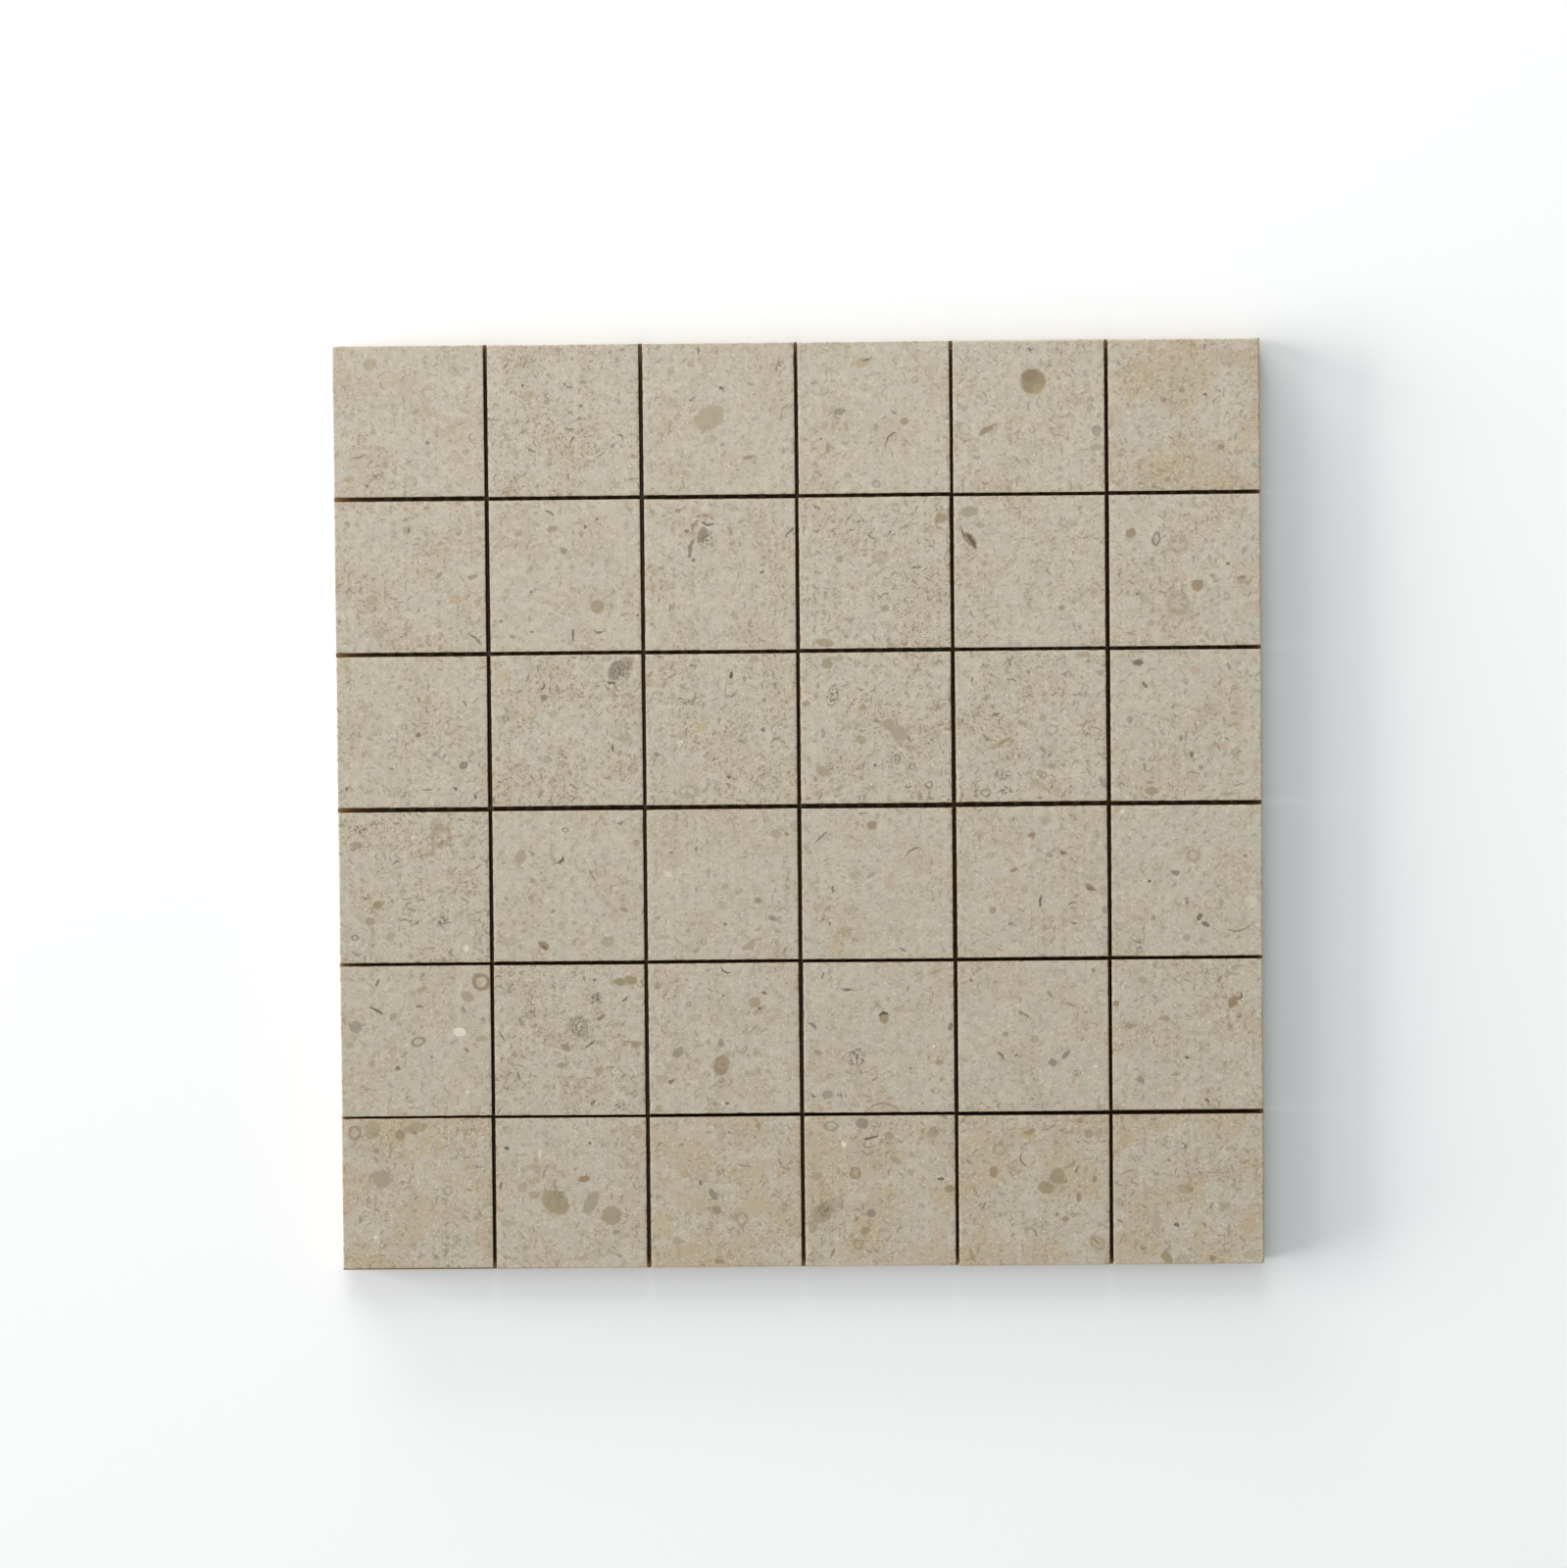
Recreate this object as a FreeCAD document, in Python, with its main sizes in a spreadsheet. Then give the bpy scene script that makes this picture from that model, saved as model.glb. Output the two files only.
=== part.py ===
"""Mosaic tile sheet: six rows of six square chips, face up on a cut piece of glass-fibre net.

Millimetres, +Z up.  The origin is under the middle of the sheet, on the plane it lies on.
Row 1 is the +Y row and column 1 the -X column.
"""
import FreeCAD, Part
import Sketcher
import math
import os

COLUMNS = 6
ROWS = 6
THREADS_PER_BAND = 9

CHIP_SIZES = (
    ("chip_width", 48.85),       # along X
    ("chip_depth", 48.9),        # along Y
    ("chip_thickness", 9.5),
    ("corner_radius", 1.0),      # worn plan corners of the tile the chips were cut from
    ("arris_radius", 0.7),       # softened top edge around the outside of the sheet
)
LAYING_SIZES = (
    ("column_joint", 1.2),       # open joint between two columns
    ("row_joint_1", 1.22),       # open joint between rows 1 and 2 at mid width, and so on down
    ("row_joint_2", 1.16),
    ("row_joint_3", 1.46),
    ("row_joint_4", 1.09),
    ("row_joint_5", 1.07),
    ("row_skew_1", -0.12),       # how much higher a row's last chip lies than its first
    ("row_skew_2", 0.15),
    ("row_skew_3", 0.2),
    ("row_skew_4", 0.12),
    ("row_skew_5", 0.07),
    ("row_skew_6", -0.53),
    ("laying_play", 0.08),       # most that a chip lies off its true place, each way
    ("laying_turn", 0.12),       # most that a chip is turned in its place, degrees
)
NET_SIZES = (
    ("strand_width", 2.5),       # flat strands, along Y
    ("strand_thickness", 0.2),
    ("strand_pitch", 6.36),
    ("thread_width", 0.4),       # thin threads, along X, lying over the strands
    ("thread_thickness", 0.2),
    ("thread_pitch", 4.8),
    ("thread_overhang", 0.6),    # cut thread ends past the first and last strand
    ("net_inset_left", 15.8),    # from the sheet's edge to the first strand
    ("net_inset_right", 6.0),    # least distance from the last strand to the sheet's edge
    ("net_inset_top", 2.35),     # from the sheet's edge to the middle of the first thread
    ("net_inset_bottom", 3.2),   # from the cut strand ends to the sheet's edge
    ("strand_overhang", 0.3),    # cut strand ends past the middle of the first thread
)

# How the small laying errors drift over the sheet: steps per row and per column, and a start
DRIFT_X = (1.2, 1.5, 1.33)
DRIFT_Y = (1.3, 4.0, 2.31)
DRIFT_TURN = (5.2, 2.6, -0.84)

ROW_JOINTS = ["Sizes.row_joint_%d" % number for number in range(1, ROWS)]
SHEET_WIDTH = "(%d * Sizes.chip_width + %d * Sizes.column_joint)" % (COLUMNS, COLUMNS - 1)
SHEET_DEPTH = "(%d * Sizes.chip_depth + %s)" % (ROWS, " + ".join(ROW_JOINTS))
NET_THICKNESS = "(Sizes.strand_thickness + Sizes.thread_thickness)"
TOLERANCE = 1e-4


def drift(steps, row, column):
    """A laying error between -1 and 1 that wanders from chip to chip."""
    per_row, per_column, start = steps
    return math.sin(per_row * row + per_column * column + start)


def make_sizes(doc):
    """Put every driving dimension in the sheet, one row each: its name, then its value."""
    sheet = doc.addObject("Spreadsheet::Sheet", "Sizes")
    for row, (name, value) in enumerate(CHIP_SIZES + LAYING_SIZES + NET_SIZES, start=1):
        sheet.set("A%d" % row, name)
        sheet.set("B%d" % row, str(value))
        sheet.setAlias("B%d" % row, name)
    doc.recompute()
    return sheet


def bind(item, expressions):
    """Tie each named property of an object to its expression on the sheet."""
    for prop, expression in expressions.items():
        item.setExpression(prop, expression)


def origin_plane(body, role):
    """The plane of a body's own origin that has this role."""
    return next(part for part in body.Origin.OriginFeatures if part.Role == role)


def edge_names(shape, wanted):
    """Names of a shape's edges whose middle point passes the test."""
    names = []
    for number, edge in enumerate(shape.Edges, start=1):
        middle = edge.valueAt((edge.FirstParameter + edge.LastParameter) / 2)
        if wanted(middle):
            names.append("Edge%d" % number)
    return names


def add_chip_outline(body):
    """Sketch of the chip's plan: a rectangle centred on the body's origin."""
    sketch = body.newObject("Sketcher::SketchObject", body.Name + "_outline")
    sketch.AttachmentSupport = [(origin_plane(body, "XY_Plane"), "")]
    sketch.MapMode = "FlatFace"
    corners = [FreeCAD.Vector(*point) for point in ((-1, -1), (1, -1), (1, 1), (-1, 1))]
    for start in range(4):
        sketch.addGeometry(Part.LineSegment(corners[start], corners[(start + 1) % 4]), False)
    for side in range(4):
        sketch.addConstraint(Sketcher.Constraint("Coincident", side, 2, (side + 1) % 4, 1))
    for side, direction in enumerate(("Horizontal", "Vertical", "Horizontal", "Vertical")):
        sketch.addConstraint(Sketcher.Constraint(direction, side))
    sketch.addConstraint(Sketcher.Constraint("Symmetric", 0, 1, 1, 2, -1, 1))
    for name, side, kind in (("Width", 0, "DistanceX"), ("Depth", 1, "DistanceY")):
        index = sketch.addConstraint(Sketcher.Constraint(kind, side, 1, side, 2, 2.0))
        sketch.renameConstraint(index, name)
    bind(sketch, {"Constraints.Width": "Sizes.chip_width", "Constraints.Depth": "Sizes.chip_depth"})
    return sketch


def add_rounding(doc, body, name, base, edges, radius):
    """Round the named edges of a body's last feature."""
    doc.recompute()
    rounding = body.newObject("PartDesign::Fillet", body.Name + name)
    rounding.Base = (base, edges)
    bind(rounding, {"Radius": radius})
    return rounding


def make_chip(doc, sizes, row, column):
    """One chip, rounded only where it was part of the uncut tile's rim."""
    body = doc.addObject("PartDesign::Body", "chip_r%dc%d" % (row, column))
    pad = body.newObject("PartDesign::Pad", body.Name + "_pad")
    pad.Profile = add_chip_outline(body)
    bind(pad, {"Length": "Sizes.chip_thickness"})
    doc.recompute()

    side_x = {1: -1, COLUMNS: 1}.get(column, 0)
    side_y = {1: 1, ROWS: -1}.get(row, 0)
    rim_x = side_x * sizes.chip_width / 2
    rim_y = side_y * sizes.chip_depth / 2
    top = sizes.chip_thickness

    def on_rim(point):
        return (side_x and abs(point.x - rim_x) < TOLERANCE) or (side_y and abs(point.y - rim_y) < TOLERANCE)

    last = pad
    if side_x and side_y:
        corner = edge_names(pad.Shape, lambda point: abs(point.x - rim_x) < TOLERANCE
                            and abs(point.y - rim_y) < TOLERANCE)
        last = add_rounding(doc, body, "_corner", last, corner, "Sizes.corner_radius")
        doc.recompute()
    if side_x or side_y:
        arris = edge_names(last.Shape, lambda point: abs(point.z - top) < TOLERANCE and on_rim(point))
        add_rounding(doc, body, "_arris", last, arris, "Sizes.arris_radius")

    lay_chip(body, row, column)
    return body


def lay_chip(body, row, column):
    """Place a chip in the grid, with its row's skew and its own small laying errors."""
    joints_above = " + ".join(ROW_JOINTS[:row - 1]) or "0"
    true_x = "%g * Sizes.chip_width + %d * Sizes.column_joint - %s / 2" % (column - 0.5, column - 1, SHEET_WIDTH)
    true_y = "%s / 2 - %g * Sizes.chip_depth - (%s)" % (SHEET_DEPTH, row - 0.5, joints_above)
    share = (column - 1) / (COLUMNS - 1) - 0.5
    row_length = "(%d * (Sizes.chip_width + Sizes.column_joint))" % (COLUMNS - 1)
    bind(body, {
        "Placement.Base.x": "%s + %.3f * Sizes.laying_play" % (true_x, drift(DRIFT_X, row, column)),
        "Placement.Base.y": "%s + %g * Sizes.row_skew_%d + %.3f * Sizes.laying_play"
                            % (true_y, share, row, drift(DRIFT_Y, row, column)),
        "Placement.Base.z": NET_THICKNESS,
        "Placement.Rotation.Angle": "atan(Sizes.row_skew_%d / %s) + %.3f * Sizes.laying_turn * 1deg"
                                    % (row, row_length, drift(DRIFT_TURN, row, column)),
    })


def add_bar(doc, name, expressions):
    """One bar of the net, a box with its sizes and corner bound to the sheet."""
    bar = doc.addObject("Part::Box", name)
    bind(bar, expressions)
    return bar


def net_counts(sizes):
    """How many strands and threads fit between the net's insets."""
    sheet_width = COLUMNS * sizes.chip_width + (COLUMNS - 1) * sizes.column_joint
    joints = sum(getattr(sizes, "row_joint_%d" % number) for number in range(1, ROWS))
    sheet_depth = ROWS * sizes.chip_depth + joints
    run_x = sheet_width - sizes.net_inset_left - sizes.net_inset_right - sizes.strand_width
    run_y = sheet_depth - sizes.net_inset_top - sizes.net_inset_bottom
    return int(run_x / sizes.strand_pitch) + 1, int(run_y / sizes.thread_pitch) + 1


def make_net_band(doc, number, first, threads, strands, is_last):
    """One band of the net: its threads over its length of every strand, fused at the crossings.

    The band's own frame starts at the net's first strand edge and at the band's first thread.
    """
    name = "net_band_%d" % number
    above = "Sizes.strand_overhang" if first == 0 else "Sizes.thread_pitch / 2"
    if is_last:
        net_end = "(%s - Sizes.net_inset_top - Sizes.net_inset_bottom)" % SHEET_DEPTH
        below = "(%s - %d * Sizes.thread_pitch)" % (net_end, first)
    else:
        below = "(%g * Sizes.thread_pitch)" % (threads - 0.5)
    strand_sizes = {
        "Length": "Sizes.strand_width",
        "Width": "%s + %s" % (above, below),
        "Height": "Sizes.strand_thickness",
        "Placement.Base.y": "-" + below,
    }
    thread_sizes = {
        "Length": "%d * Sizes.strand_pitch + Sizes.strand_width + 2 * Sizes.thread_overhang" % (strands - 1),
        "Width": "Sizes.thread_width",
        "Height": "Sizes.thread_thickness",
        "Placement.Base.x": "-Sizes.thread_overhang",
        "Placement.Base.z": "Sizes.strand_thickness",
    }
    bars = []
    for index in range(strands):
        place = {"Placement.Base.x": "%d * Sizes.strand_pitch" % index}
        bars.append(add_bar(doc, "%s_strand_%d" % (name, index + 1), {**strand_sizes, **place}))
    for index in range(threads):
        place = {"Placement.Base.y": "-%d * Sizes.thread_pitch - Sizes.thread_width / 2" % index}
        bars.append(add_bar(doc, "%s_thread_%d" % (name, index + 1), {**thread_sizes, **place}))

    band = doc.addObject("Part::MultiFuse", name)
    band.Shapes = bars
    band.Refine = False
    bind(band, {
        "Placement.Base.x": "Sizes.net_inset_left - %s / 2" % SHEET_WIDTH,
        "Placement.Base.y": "%s / 2 - Sizes.net_inset_top - %d * Sizes.thread_pitch" % (SHEET_DEPTH, first),
    })
    return band


def repeat_net_band(doc, number, pattern, pattern_number):
    """The same inner band again, further down the net."""
    band = doc.addObject("Part::Compound", "net_band_%d" % number)
    band.Links = [pattern]
    threads_down = THREADS_PER_BAND * (number - pattern_number)
    bind(band, {"Placement.Base.y": "-%d * Sizes.thread_pitch" % threads_down})
    return band


def make_net(doc, sizes):
    """The whole net, band by band from the top of the sheet.

    All bands between the first and the last are alike.
    """
    strands, threads = net_counts(sizes)
    bands = []
    for number, first in enumerate(range(0, threads, THREADS_PER_BAND), start=1):
        count = min(THREADS_PER_BAND, threads - first)
        is_last = first + count == threads
        if number > 2 and not is_last:
            bands.append(repeat_net_band(doc, number, bands[1], 2))
        else:
            bands.append(make_net_band(doc, number, first, count, strands, is_last))
    return bands


def check_document(doc, pieces):
    """Stop if any feature failed or any piece is not one valid solid."""
    for item in doc.Objects:
        if "Invalid" in item.State or "Error" in item.State:
            raise RuntimeError("%s failed: %s" % (item.Name, item.State))
    checked = []
    for piece in pieces:
        solids = [] if piece.Shape.isNull() else piece.Shape.Solids
        if len(solids) != 1:
            raise RuntimeError("%s is not one solid" % piece.Label)
        if any(solids[0].isPartner(other) for other in checked):
            continue
        if not solids[0].isValid():
            raise RuntimeError("%s is not valid" % piece.Label)
        checked.append(solids[0])


def main():
    doc = FreeCAD.newDocument("mosaic_tile_sheet")
    sizes = make_sizes(doc)
    pieces = [make_chip(doc, sizes, row, column)
              for row in range(1, ROWS + 1) for column in range(1, COLUMNS + 1)]
    pieces += make_net(doc, sizes)
    doc.recompute()
    check_document(doc, pieces)
    os.makedirs("parts", exist_ok=True)
    for piece in pieces:
        piece.Shape.exportStep("parts/%s.step" % piece.Label)


main()
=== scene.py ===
"""Mosaic tile sheet: limestone-look porcelain chips, face up on a woven glass-fibre net.

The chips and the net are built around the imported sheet, in metres and in its own frame.
"""

import logging
import math
from dataclasses import dataclass
from enum import Enum

import bpy
from mathutils import Matrix, Vector, noise


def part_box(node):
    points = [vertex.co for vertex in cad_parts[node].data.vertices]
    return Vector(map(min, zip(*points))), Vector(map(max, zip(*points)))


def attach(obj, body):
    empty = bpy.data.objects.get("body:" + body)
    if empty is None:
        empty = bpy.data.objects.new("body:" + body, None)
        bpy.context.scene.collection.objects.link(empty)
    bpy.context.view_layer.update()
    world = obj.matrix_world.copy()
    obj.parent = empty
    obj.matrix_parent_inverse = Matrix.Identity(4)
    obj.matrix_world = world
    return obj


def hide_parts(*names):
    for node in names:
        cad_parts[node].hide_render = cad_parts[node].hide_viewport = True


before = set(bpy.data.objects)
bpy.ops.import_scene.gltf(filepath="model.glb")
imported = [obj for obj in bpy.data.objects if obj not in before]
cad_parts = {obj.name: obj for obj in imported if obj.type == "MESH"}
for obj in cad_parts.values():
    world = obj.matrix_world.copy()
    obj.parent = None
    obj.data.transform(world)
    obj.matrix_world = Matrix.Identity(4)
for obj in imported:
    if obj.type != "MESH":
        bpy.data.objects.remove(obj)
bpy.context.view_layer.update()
LOG = logging.getLogger("mosaic")

MM = 0.001
COLUMNS = 6
ROWS = 6
NET_BANDS = 7

Pair = tuple[float, float]
Triple = tuple[float, float, float]
Faces = list[tuple[int, ...]]


class Tone(Enum):
    """Colours of the print, the body, the net and the floor, as sRGB bytes."""

    BEIGE = (190, 181, 162)
    ROSE_BEIGE = (196, 185, 167)
    GREEN_BEIGE = (192, 184, 166)
    SAND = (184, 164, 134)
    GRAIN = (112, 99, 80)
    PALE = (219, 212, 195)
    DARK = (88, 77, 62)
    GREY = (136, 127, 111)
    GREY_TAN = (162, 149, 127)
    TAN = (165, 149, 121)
    BROWN = (146, 125, 95)
    OLIVE = (150, 136, 104)
    YELLOW = (187, 170, 130)
    ORANGE = (180, 159, 126)
    PINK = (184, 164, 143)
    BODY = (163, 151, 132)
    BODY_DARK = (126, 113, 95)
    # The saw-cut sides' darker brown: partly the cut body's own colour, partly painted shade of the deep
    # joints
    CUT_AND_SHADE = (148, 119, 81)
    CUT_DARK_AND_SHADE = (106, 85, 57)
    # The net's tones: darker than clean glass fibre, partly the coating's own colour, partly painted shade of
    # the deep joints
    GLASS_FIBRE_AND_SHADE = (172, 158, 133)
    GLASS_FIBRE_DARK_AND_SHADE = (140, 125, 99)
    FLOOR = (253, 254, 254)
    # Painted shade: the dark floor under the sheet, seen through the joints
    PAINTED_SHADE_UNDER_SHEET = (132, 102, 66)

    @property
    def linear(self) -> tuple[float, float, float, float]:
        """Work out the colour as shaders take it, by the sRGB curve.

        Returns:
            Linear red, green, blue and alpha.
        """
        parts = [byte / 255 for byte in self.value]
        low = [part / 12.92 for part in parts]
        high = [((part + 0.055) / 1.055) ** 2.4 for part in parts]
        return tuple(low[i] if parts[i] <= 0.04045 else high[i] for i in range(3)) + (1.0,)


class Value:
    """A node's output that takes Python's operators: numbers, vectors and colours alike."""

    def __init__(self, shader: "Shader", socket: bpy.types.NodeSocket) -> None:
        """Wrap a socket.

        Args:
            shader: The shader that the socket belongs to.
            socket: The output socket.
        """
        self.shader = shader
        self.socket = socket

    def _work(self, operation: str, *terms: "Value | float | Triple") -> "Value":
        """Add the Math or Vector Math node for one operation.

        Args:
            operation: The node's operation.
            terms: Its inputs in order.

        Returns:
            The node's result.
        """
        if self.socket.type == "VALUE":
            return self.shader.add("ShaderNodeMath", {"operation": operation}, dict(enumerate(terms)))
        wide = [(term,) * 3 if isinstance(term, (int, float)) else term for term in terms]
        return self.shader.add("ShaderNodeVectorMath", {"operation": operation}, dict(enumerate(wide)))

    def __add__(self, other: "Value | float") -> "Value":
        """The sum."""
        return self._work("ADD", self, other)

    def __radd__(self, other: float) -> "Value":
        """The sum, number first."""
        return self._work("ADD", other, self)

    def __sub__(self, other: "Value | float") -> "Value":
        """The difference."""
        return self._work("SUBTRACT", self, other)

    def __rsub__(self, other: float) -> "Value":
        """The difference, number first."""
        return self._work("SUBTRACT", other, self)

    def __mul__(self, other: "Value | float | Triple") -> "Value":
        """The product."""
        return self._work("MULTIPLY", self, other)

    def __rmul__(self, other: float) -> "Value":
        """The product, number first."""
        return self._work("MULTIPLY", other, self)

    def __truediv__(self, other: "Value | float") -> "Value":
        """The quotient."""
        return self._work("DIVIDE", self, other)

    def __abs__(self) -> "Value":
        """The size without its sign."""
        return self._work("ABSOLUTE", self)

    def above(self, limit: "Value | float") -> "Value":
        """One where the value is over a limit, and zero elsewhere."""
        return self._work("GREATER_THAN", self, limit)

    def length(self) -> "Value":
        """How long a vector is."""
        return self.shader.add("ShaderNodeVectorMath", {"operation": "LENGTH"}, {0: self}, "Value")

    def parts(self) -> "tuple[Value, Value, Value]":
        """Split a vector or a colour.

        Returns:
            Its three numbers.
        """
        kind, names = ("ShaderNodeSeparateXYZ", "XYZ")
        if self.socket.type == "RGBA":
            kind, names = ("ShaderNodeSeparateColor", ("Red", "Green", "Blue"))
        first = self.shader.add(kind, {}, {0: self}, names[0])
        node = first.socket.node
        return first, Value(self.shader, node.outputs[names[1]]), Value(self.shader, node.outputs[names[2]])

    def ease(self, start: "Value | float", end: "Value | float", low: float = 0.0,
             high: float = 1.0) -> "Value":
        """Add a smooth step.

        Args:
            start: Where the step begins.
            end: Where it ends, which may be below the start.
            low: The result before the step.
            high: The result after it.

        Returns:
            The stepped value.
        """
        inputs = {"Value": self, "From Min": start, "From Max": end, "To Min": low, "To Max": high}
        return self.shader.add("ShaderNodeMapRange", {"interpolation_type": "SMOOTHSTEP"}, inputs)


class Shader:
    """One material's nodes."""

    def __init__(self, name: str) -> None:
        """Start an empty material.

        Args:
            name: The material's name.
        """
        self.material = bpy.data.materials.new(name)
        self.material.use_nodes = True
        self.tree = self.material.node_tree
        self.tree.nodes.clear()

    def add(self, kind: str, settings: dict, inputs: dict, output: "str | int" = 0) -> Value:
        """Add one node.

        Args:
            kind: The node's type.
            settings: Its own settings, which are set first.
            inputs: Values or links for its sockets, by name or number.
            output: Which of its outputs to use.

        Returns:
            The output.
        """
        node = self.tree.nodes.new(kind)
        for name, setting in settings.items():
            setattr(node, name, setting)
        for name, term in inputs.items():
            socket = node.inputs[name]
            if isinstance(term, Value):
                self.tree.links.new(term.socket, socket)
            else:
                socket.default_value = term.linear if isinstance(term, Tone) else term
        return Value(self, node.outputs[output])

    def sheet_place(self) -> Value:
        """Place on the sheet in millimetres."""
        return self.add("ShaderNodeTexCoord", {}, {}, "Object") * (1 / MM)

    def noise(self, place: Value, grain: float, detail: float = 2.0, output: str = "Fac",
              flat: bool = True) -> Value:
        """Smooth noise.

        Args:
            place: Where, in millimetres.
            grain: Size of its largest features in millimetres.
            detail: How many finer layers it has.
            output: Fac for a number or Color for three.
            flat: Whether it only varies along the sheet.

        Returns:
            The noise, about 0.5 on average.
        """
        settings = {"noise_dimensions": "2D" if flat else "3D"}
        inputs = {"Vector": place, "Scale": 1 / grain, "Detail": detail}
        return self.add("ShaderNodeTexNoise", settings, inputs, output)

    def mix(self, share: "Value | float", first: "Value | Tone", second: "Value | Tone") -> Value:
        """Mix two colours.

        Args:
            share: How much of the second.
            first: The colour at a share of zero.
            second: The colour at a share of one.

        Returns:
            The mixed colour.
        """
        return self.add("ShaderNodeMix", {"data_type": "RGBA"}, {0: share, 6: first, 7: second}, 2)

    def bump(self, height: Value, depth: float, below: "Value | None" = None) -> Value:
        """Turn a height into a normal.

        Args:
            height: The height, from 0 to 1.
            depth: How far 1 stands above 0, in millimetres.
            below: A normal to build on.

        Returns:
            The normal.
        """
        inputs = {"Height": height, "Distance": depth * MM, "Strength": 1.0}
        if below is not None:
            inputs["Normal"] = below
        return self.add("ShaderNodeBump", {}, inputs)

    def surface(self, inputs: dict) -> bpy.types.Material:
        """Close the material with one Principled shader.

        Args:
            inputs: Its sockets.

        Returns:
            The finished material.
        """
        surface = self.add("ShaderNodeBsdfPrincipled", {}, inputs)
        output = self.tree.nodes.new("ShaderNodeOutputMaterial")
        self.tree.links.new(surface.socket, output.inputs["Surface"])
        return self.material


@dataclass(frozen=True)
class Camera:
    """The camera that took the picture, looking straight down on the sheet.

    Attributes:
        wide: The picture's width in pixels.
        high: Its height in pixels.
        place: Where the camera is, in millimetres.
        forward: The way it looks.
        up: The picture's upward direction.
        lens: Focal length in millimetres on a sensor of the given width.
        sensor: Sensor width in millimetres.
        nearest: Nearest thing it shows, in metres.
        farthest: Farthest thing it shows, in metres.
    """

    wide: int = 1599
    high: int = 1600
    place: Triple = (11.563, 90.591, 1907.99)
    forward: Triple = (-0.008767, -0.043927, -0.998996)
    up: Triple = (0.008628, 0.998994, -0.044003)
    lens: float = 134.915
    sensor: float = 36.0
    nearest: float = 0.01
    farthest: float = 20.0

    def axes(self) -> tuple[Vector, Vector, Vector]:
        """Find how the camera is turned.

        Returns:
            The picture's right, up and backward directions.
        """
        back = -Vector(self.forward).normalized()
        right = Vector(self.up).cross(back).normalized()
        return right, back.cross(right), back

    def place_of(self, pixel: Pair, height: float) -> Vector:
        """Find what a pixel shows.

        Args:
            pixel: Across and down the picture.
            height: Height above the floor of what is there, in millimetres.

        Returns:
            The place in millimetres.
        """
        right, up, back = self.axes()
        focal = self.lens / self.sensor * self.wide
        ray = (pixel[0] - self.wide / 2) * right - (pixel[1] - self.high / 2) * up - focal * back
        start = Vector(self.place)
        return start + ray * ((height - start.z) / ray.z)

    def build(self) -> None:
        """Add the camera to the scene."""
        data = bpy.data.cameras.new("camera")
        data.lens = self.lens
        data.sensor_width = self.sensor
        data.sensor_fit = "HORIZONTAL"
        data.clip_start = self.nearest
        data.clip_end = self.farthest
        camera = bpy.data.objects.new("camera", data)
        turn = Matrix(self.axes()).transposed().to_4x4()
        camera.matrix_world = Matrix.Translation(Vector(self.place) * MM) @ turn
        bpy.context.scene.collection.objects.link(camera)
        bpy.context.scene.camera = camera


CAMERA = Camera()

# Where the cover of each kind of mark begins and where it is full, as shares of the mark's reach
LINE_EDGE = (1.5, 0.4)
RING_EDGE = (0.36, 0.1)
PATCH_EDGE = (1.15, 0.5)
STAIN_EDGE = (1.2, 0.2)
SPOT_EDGE = (1.12, 0.84)

RING_MIDDLE = 0.85
THINNEST_MARK = 0.7
LARGEST_CRISP_MARK = 11.0
CRUMB_STRENGTH = 0.7
PRINT_CONTRAST = 1.12


class Form(Enum):
    """Shapes of the fossils and stains in the print."""

    SPOT = "a filled oval"
    RING = "an oval outline"
    LINE = "a thin, straight or bowed shell section"
    PATCH = "an oval full of crumbs"


@dataclass(frozen=True)
class Mark:
    """One fossil or stain in the print.

    Attributes:
        form: Its shape.
        across: Where its middle is in the picture, pixels from the left.
        down: Pixels from the top.
        length: Its length in millimetres.
        width: Its width in millimetres.
        turn: The way its length points, degrees anticlockwise from +X.
        tone: Its colour.
        strength: How far it covers the stone.
        bow: How far the middle of a line stands off its ends, in millimetres.
    """

    form: Form
    across: float
    down: float
    length: float
    width: float
    turn: float
    tone: Tone
    strength: float = 0.7
    bow: float = 0.0

    def cover(self, shader: Shader, place: Value, crumbs: Value, face: float) -> Value:
        """Work out how far the mark covers the stone.

        Args:
            shader: The stone's shader.
            place: Place on the sheet, with a wobble, in millimetres.
            crumbs: Crumbly noise.
            face: Height of the printed face in millimetres.

        Returns:
            The cover, from 0 to 1.
        """
        middle = CAMERA.place_of((self.across, self.down), face)
        half = (self.length / 2, max(self.width / 2, THINNEST_MARK / 2), 1.0)
        strength = min(1.0, self.strength * PRINT_CONTRAST)
        near = shader.add("ShaderNodeMapping", {"vector_type": "TEXTURE"}, {
            "Vector": place,
            "Location": (middle.x, middle.y, 0.0),
            "Rotation": (0.0, 0.0, math.radians(self.turn)),
            "Scale": half,
        })
        if self.form is Form.LINE:
            along, off, _ = near.parts()
            sag = self.bow / half[1]
            off = off + along * along * sag - sag / 2
            return (along * along + off * off).ease(*LINE_EDGE, 0.0, strength)
        distance = near.length()
        if self.form is Form.RING:
            return abs(distance - RING_MIDDLE).ease(*RING_EDGE, 0.0, strength)
        if self.form is Form.PATCH:
            return distance.ease(*PATCH_EDGE, 0.0, strength * CRUMB_STRENGTH) * crumbs
        is_stain = max(self.length, self.width) > LARGEST_CRISP_MARK
        edge = STAIN_EDGE if is_stain else SPOT_EDGE
        return distance.ease(*edge, 0.0, strength)


class Stone(Enum):
    """What a chip's piece of the print is like: how gritty, and how warm."""

    SMOOTH = (0.22, 0.0)
    PLAIN = (0.5, 0.0)
    GRITTY = (0.95, 0.0)
    WARM = (0.6, 0.6)

    @property
    def grit(self) -> float:
        """How gritty it is, from 0 to 1."""
        return self.value[0]

    @property
    def warmth(self) -> float:
        """How much of the warm stain it has, from 0 to 1."""
        return self.value[1]


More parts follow.
